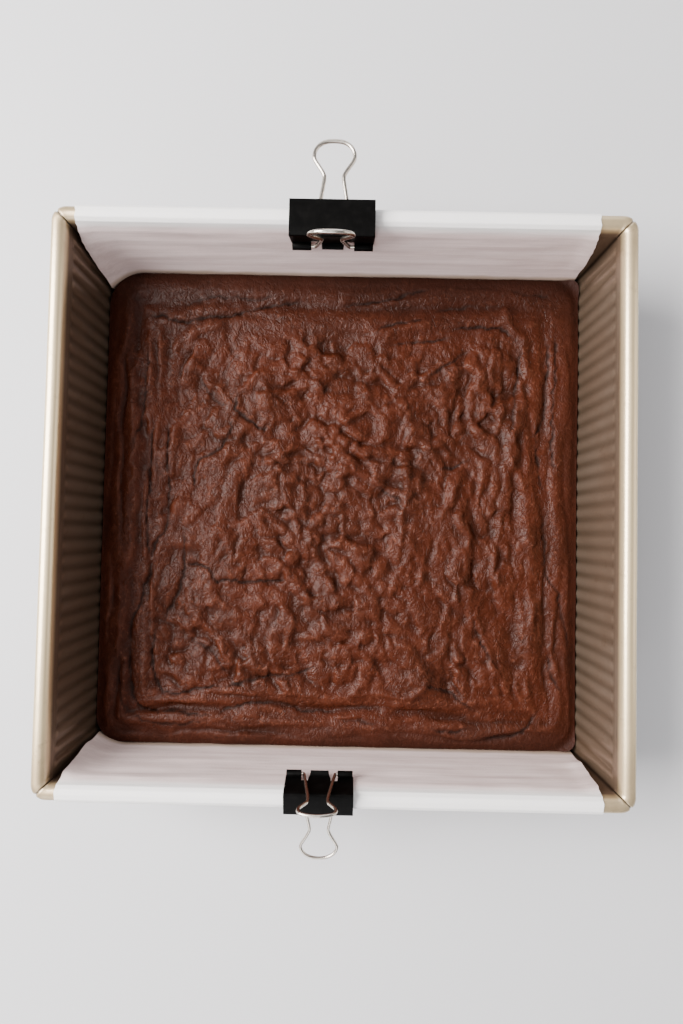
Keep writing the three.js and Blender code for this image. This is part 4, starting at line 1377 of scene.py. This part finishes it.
    def settle(self, piece: Piece) -> None:
        """Moves a piece made about x = 0 on the +Y rim to this clip's own place."""
        places = Workbench.places(piece)
        if self.side < 0:
            places[:, :2] *= -1
        places[:, 0] += self.centre_x * MM
        Workbench.put(piece, places)


def large_clip() -> SpringClip:
    """The clip on the +Y rim."""
    return SpringClip(
        name="large",
        side=1,
        centre_x=-4.45,
        width=31.7,
        strip=0.6,
        barrel=1.6,
        fold=[(101.35, 45.6), (97.4, 61.5), (111.6, 61.5), (111.5, 45.6)],
        notch=(5.2, 8.3),
        notch_depth=4.6,
        wire=0.82,
        pin_end=13.2,
        loop=[
            *((6.1, 1.5), (5.5, 4), (4.5, 9.5), (3.8, 14.1), (4.2, 16.4), (5.8, 19)),
            *((7.4, 21.4), (7.9, 23.4), (7.4, 25.6), (5.8, 27.7), (3.2, 29)),
        ],
        loop_end=29.3,
        turns={Jaw.INNER: 13.4, Jaw.OUTER: -90.0},
    )


def small_clip() -> SpringClip:
    """The clip on the -Y rim."""
    return SpringClip(
        name="small",
        side=-1,
        centre_x=-5.05,
        width=25.1,
        strip=0.5,
        barrel=1.35,
        fold=[(101.1, 48.4), (103.7, 60.8), (112.5, 57.3), (111.45, 45.2)],
        notch=(4.2, 6.7),
        notch_depth=3.3,
        wire=0.6,
        tongue_flare=1.6,
        pin_end=10.6,
        loop=[
            *((5.5, 1.2), (5, 3.2), (4.3, 7), (3.6, 10.6), (3.9, 12.6)),
            *((5.2, 15.2), (6.7, 17.8), (6.9, 19.6), (5.7, 21.8), (3.1, 23.4)),
        ],
        loop_end=23.9,
        turns={Jaw.INNER: -12.2, Jaw.OUTER: -105.0},
        inner_loop=[
            *((5.6, 1.2), (5.2, 3.5), (4.6, 8), (3.9, 12.5), (3.5, 16.4)),
            *((4, 18.6), (5.7, 20.8), (6.5, 22.8), (5.7, 24.7), (3.1, 25.7)),
        ],
        inner_loop_end=26.1,
    )


@dataclass(frozen=True)
class Window:
    """One large soft light that faces the slab, or the floor under it."""

    name: str
    place: Triple
    size: float
    watts: float
    colour: Triple
    aim_z: float = 0.0

    def hang(self) -> None:
        """Adds the light."""
        bpy.ops.object.light_add(type="AREA")
        light = bpy.context.object
        light.name = self.name
        way = Vector((0.0, 0.0, self.aim_z)) - Vector(self.place)
        turned = way.to_track_quat("-Z", "Y").to_matrix().to_4x4()
        light.matrix_world = Matrix.Translation(self.place) @ turned
        light.data.shape = "SQUARE"
        light.data.size = self.size
        light.data.energy = self.watts
        light.data.color = self.colour


# The slab's height, where the lights that shape its crust are aimed
SLAB_Z = 0.02

WINDOWS: list[Window] = [
    Window("window_left", (-0.74, 0.11, 0.715), 0.7, 38.0, (1.0, 0.975, 0.95), SLAB_Z),
    Window("window_top", (-0.22, 0.0, 0.95), 0.8, 2.8, (1.0, 0.985, 0.97), SLAB_Z),
    Window("window_right", (1.1, 0.1, 0.5), 0.8, 3.5, (1.0, 0.94, 0.87), SLAB_Z),
    Window("window_near", (-0.3, -1.1, 0.6), 0.9, 8.0, (0.98, 0.985, 1.0)),
    Window("window_far", (0.1, 1.2, 0.6), 0.9, 4.8, (0.98, 0.985, 1.0)),
]


@dataclass
class Studio:
    """Camera, floor and soft light."""

    camera_place: Triple = (0.00272, -0.01265, 0.31164)
    camera_turn: Triple = (2.173, 0.353, 1.173)
    sensor: float = 36.0
    focal_share: float = 697.1 / 1024
    sky_colour: Triple = (0.93, 0.95, 1.0)
    sky_strength: float = 0.28
    floor_size: float = 6.0

    def build(self) -> None:
        """Sets the camera, the floor, the sky and the lights."""
        self.camera()
        self.floor()
        self.sky()
        for window in WINDOWS:
            window.hang()

    def camera(self) -> None:
        """Puts the camera nearly straight above the slab."""
        bpy.ops.object.camera_add()
        camera = bpy.context.object
        turned = Matrix.Identity(4)
        for degrees, axis in zip(self.camera_turn, "XYZ"):
            turned = turned @ Matrix.Rotation(math.radians(degrees), 4, axis)
        camera.matrix_world = Matrix.Translation(self.camera_place) @ turned
        camera.data.sensor_fit = "VERTICAL"
        camera.data.sensor_height = self.sensor
        camera.data.lens = self.sensor * self.focal_share
        camera.data.clip_start = 0.01
        bpy.context.scene.camera = camera

    def floor(self) -> None:
        """Adds the floor under the tin."""
        Workbench.clear()
        bpy.ops.mesh.primitive_plane_add(size=self.floor_size)
        floor = bpy.context.object
        floor.name = "floor"
        floor.data.materials.append(FloorFinish().material())

    def sky(self) -> None:
        """Gives the room an even, weak light."""
        world = bpy.context.scene.world or bpy.data.worlds.new("room")
        bpy.context.scene.world = world
        world.use_nodes = True
        background = world.node_tree.nodes["Background"]
        background.inputs["Color"].default_value = (*self.sky_colour, 1)
        background.inputs["Strength"].default_value = self.sky_strength


def main() -> None:
    """Builds the finishes, the pieces and the studio in order."""
    logging.basicConfig(level=logging.INFO, format="%(name)s: %(message)s")
    Studio().build()
    Tin().build(GoldToneFinish().material())
    Parchment().build(ParchmentFinish().material())
    Slab().build(CrustFinish().material())
    enamel, nickel = BlackClipFinish().material(), BrightWireFinish().material()
    for clip in (large_clip(), small_clip()):
        clip.build(enamel, nickel)


if __name__ == "__main__":
    main()
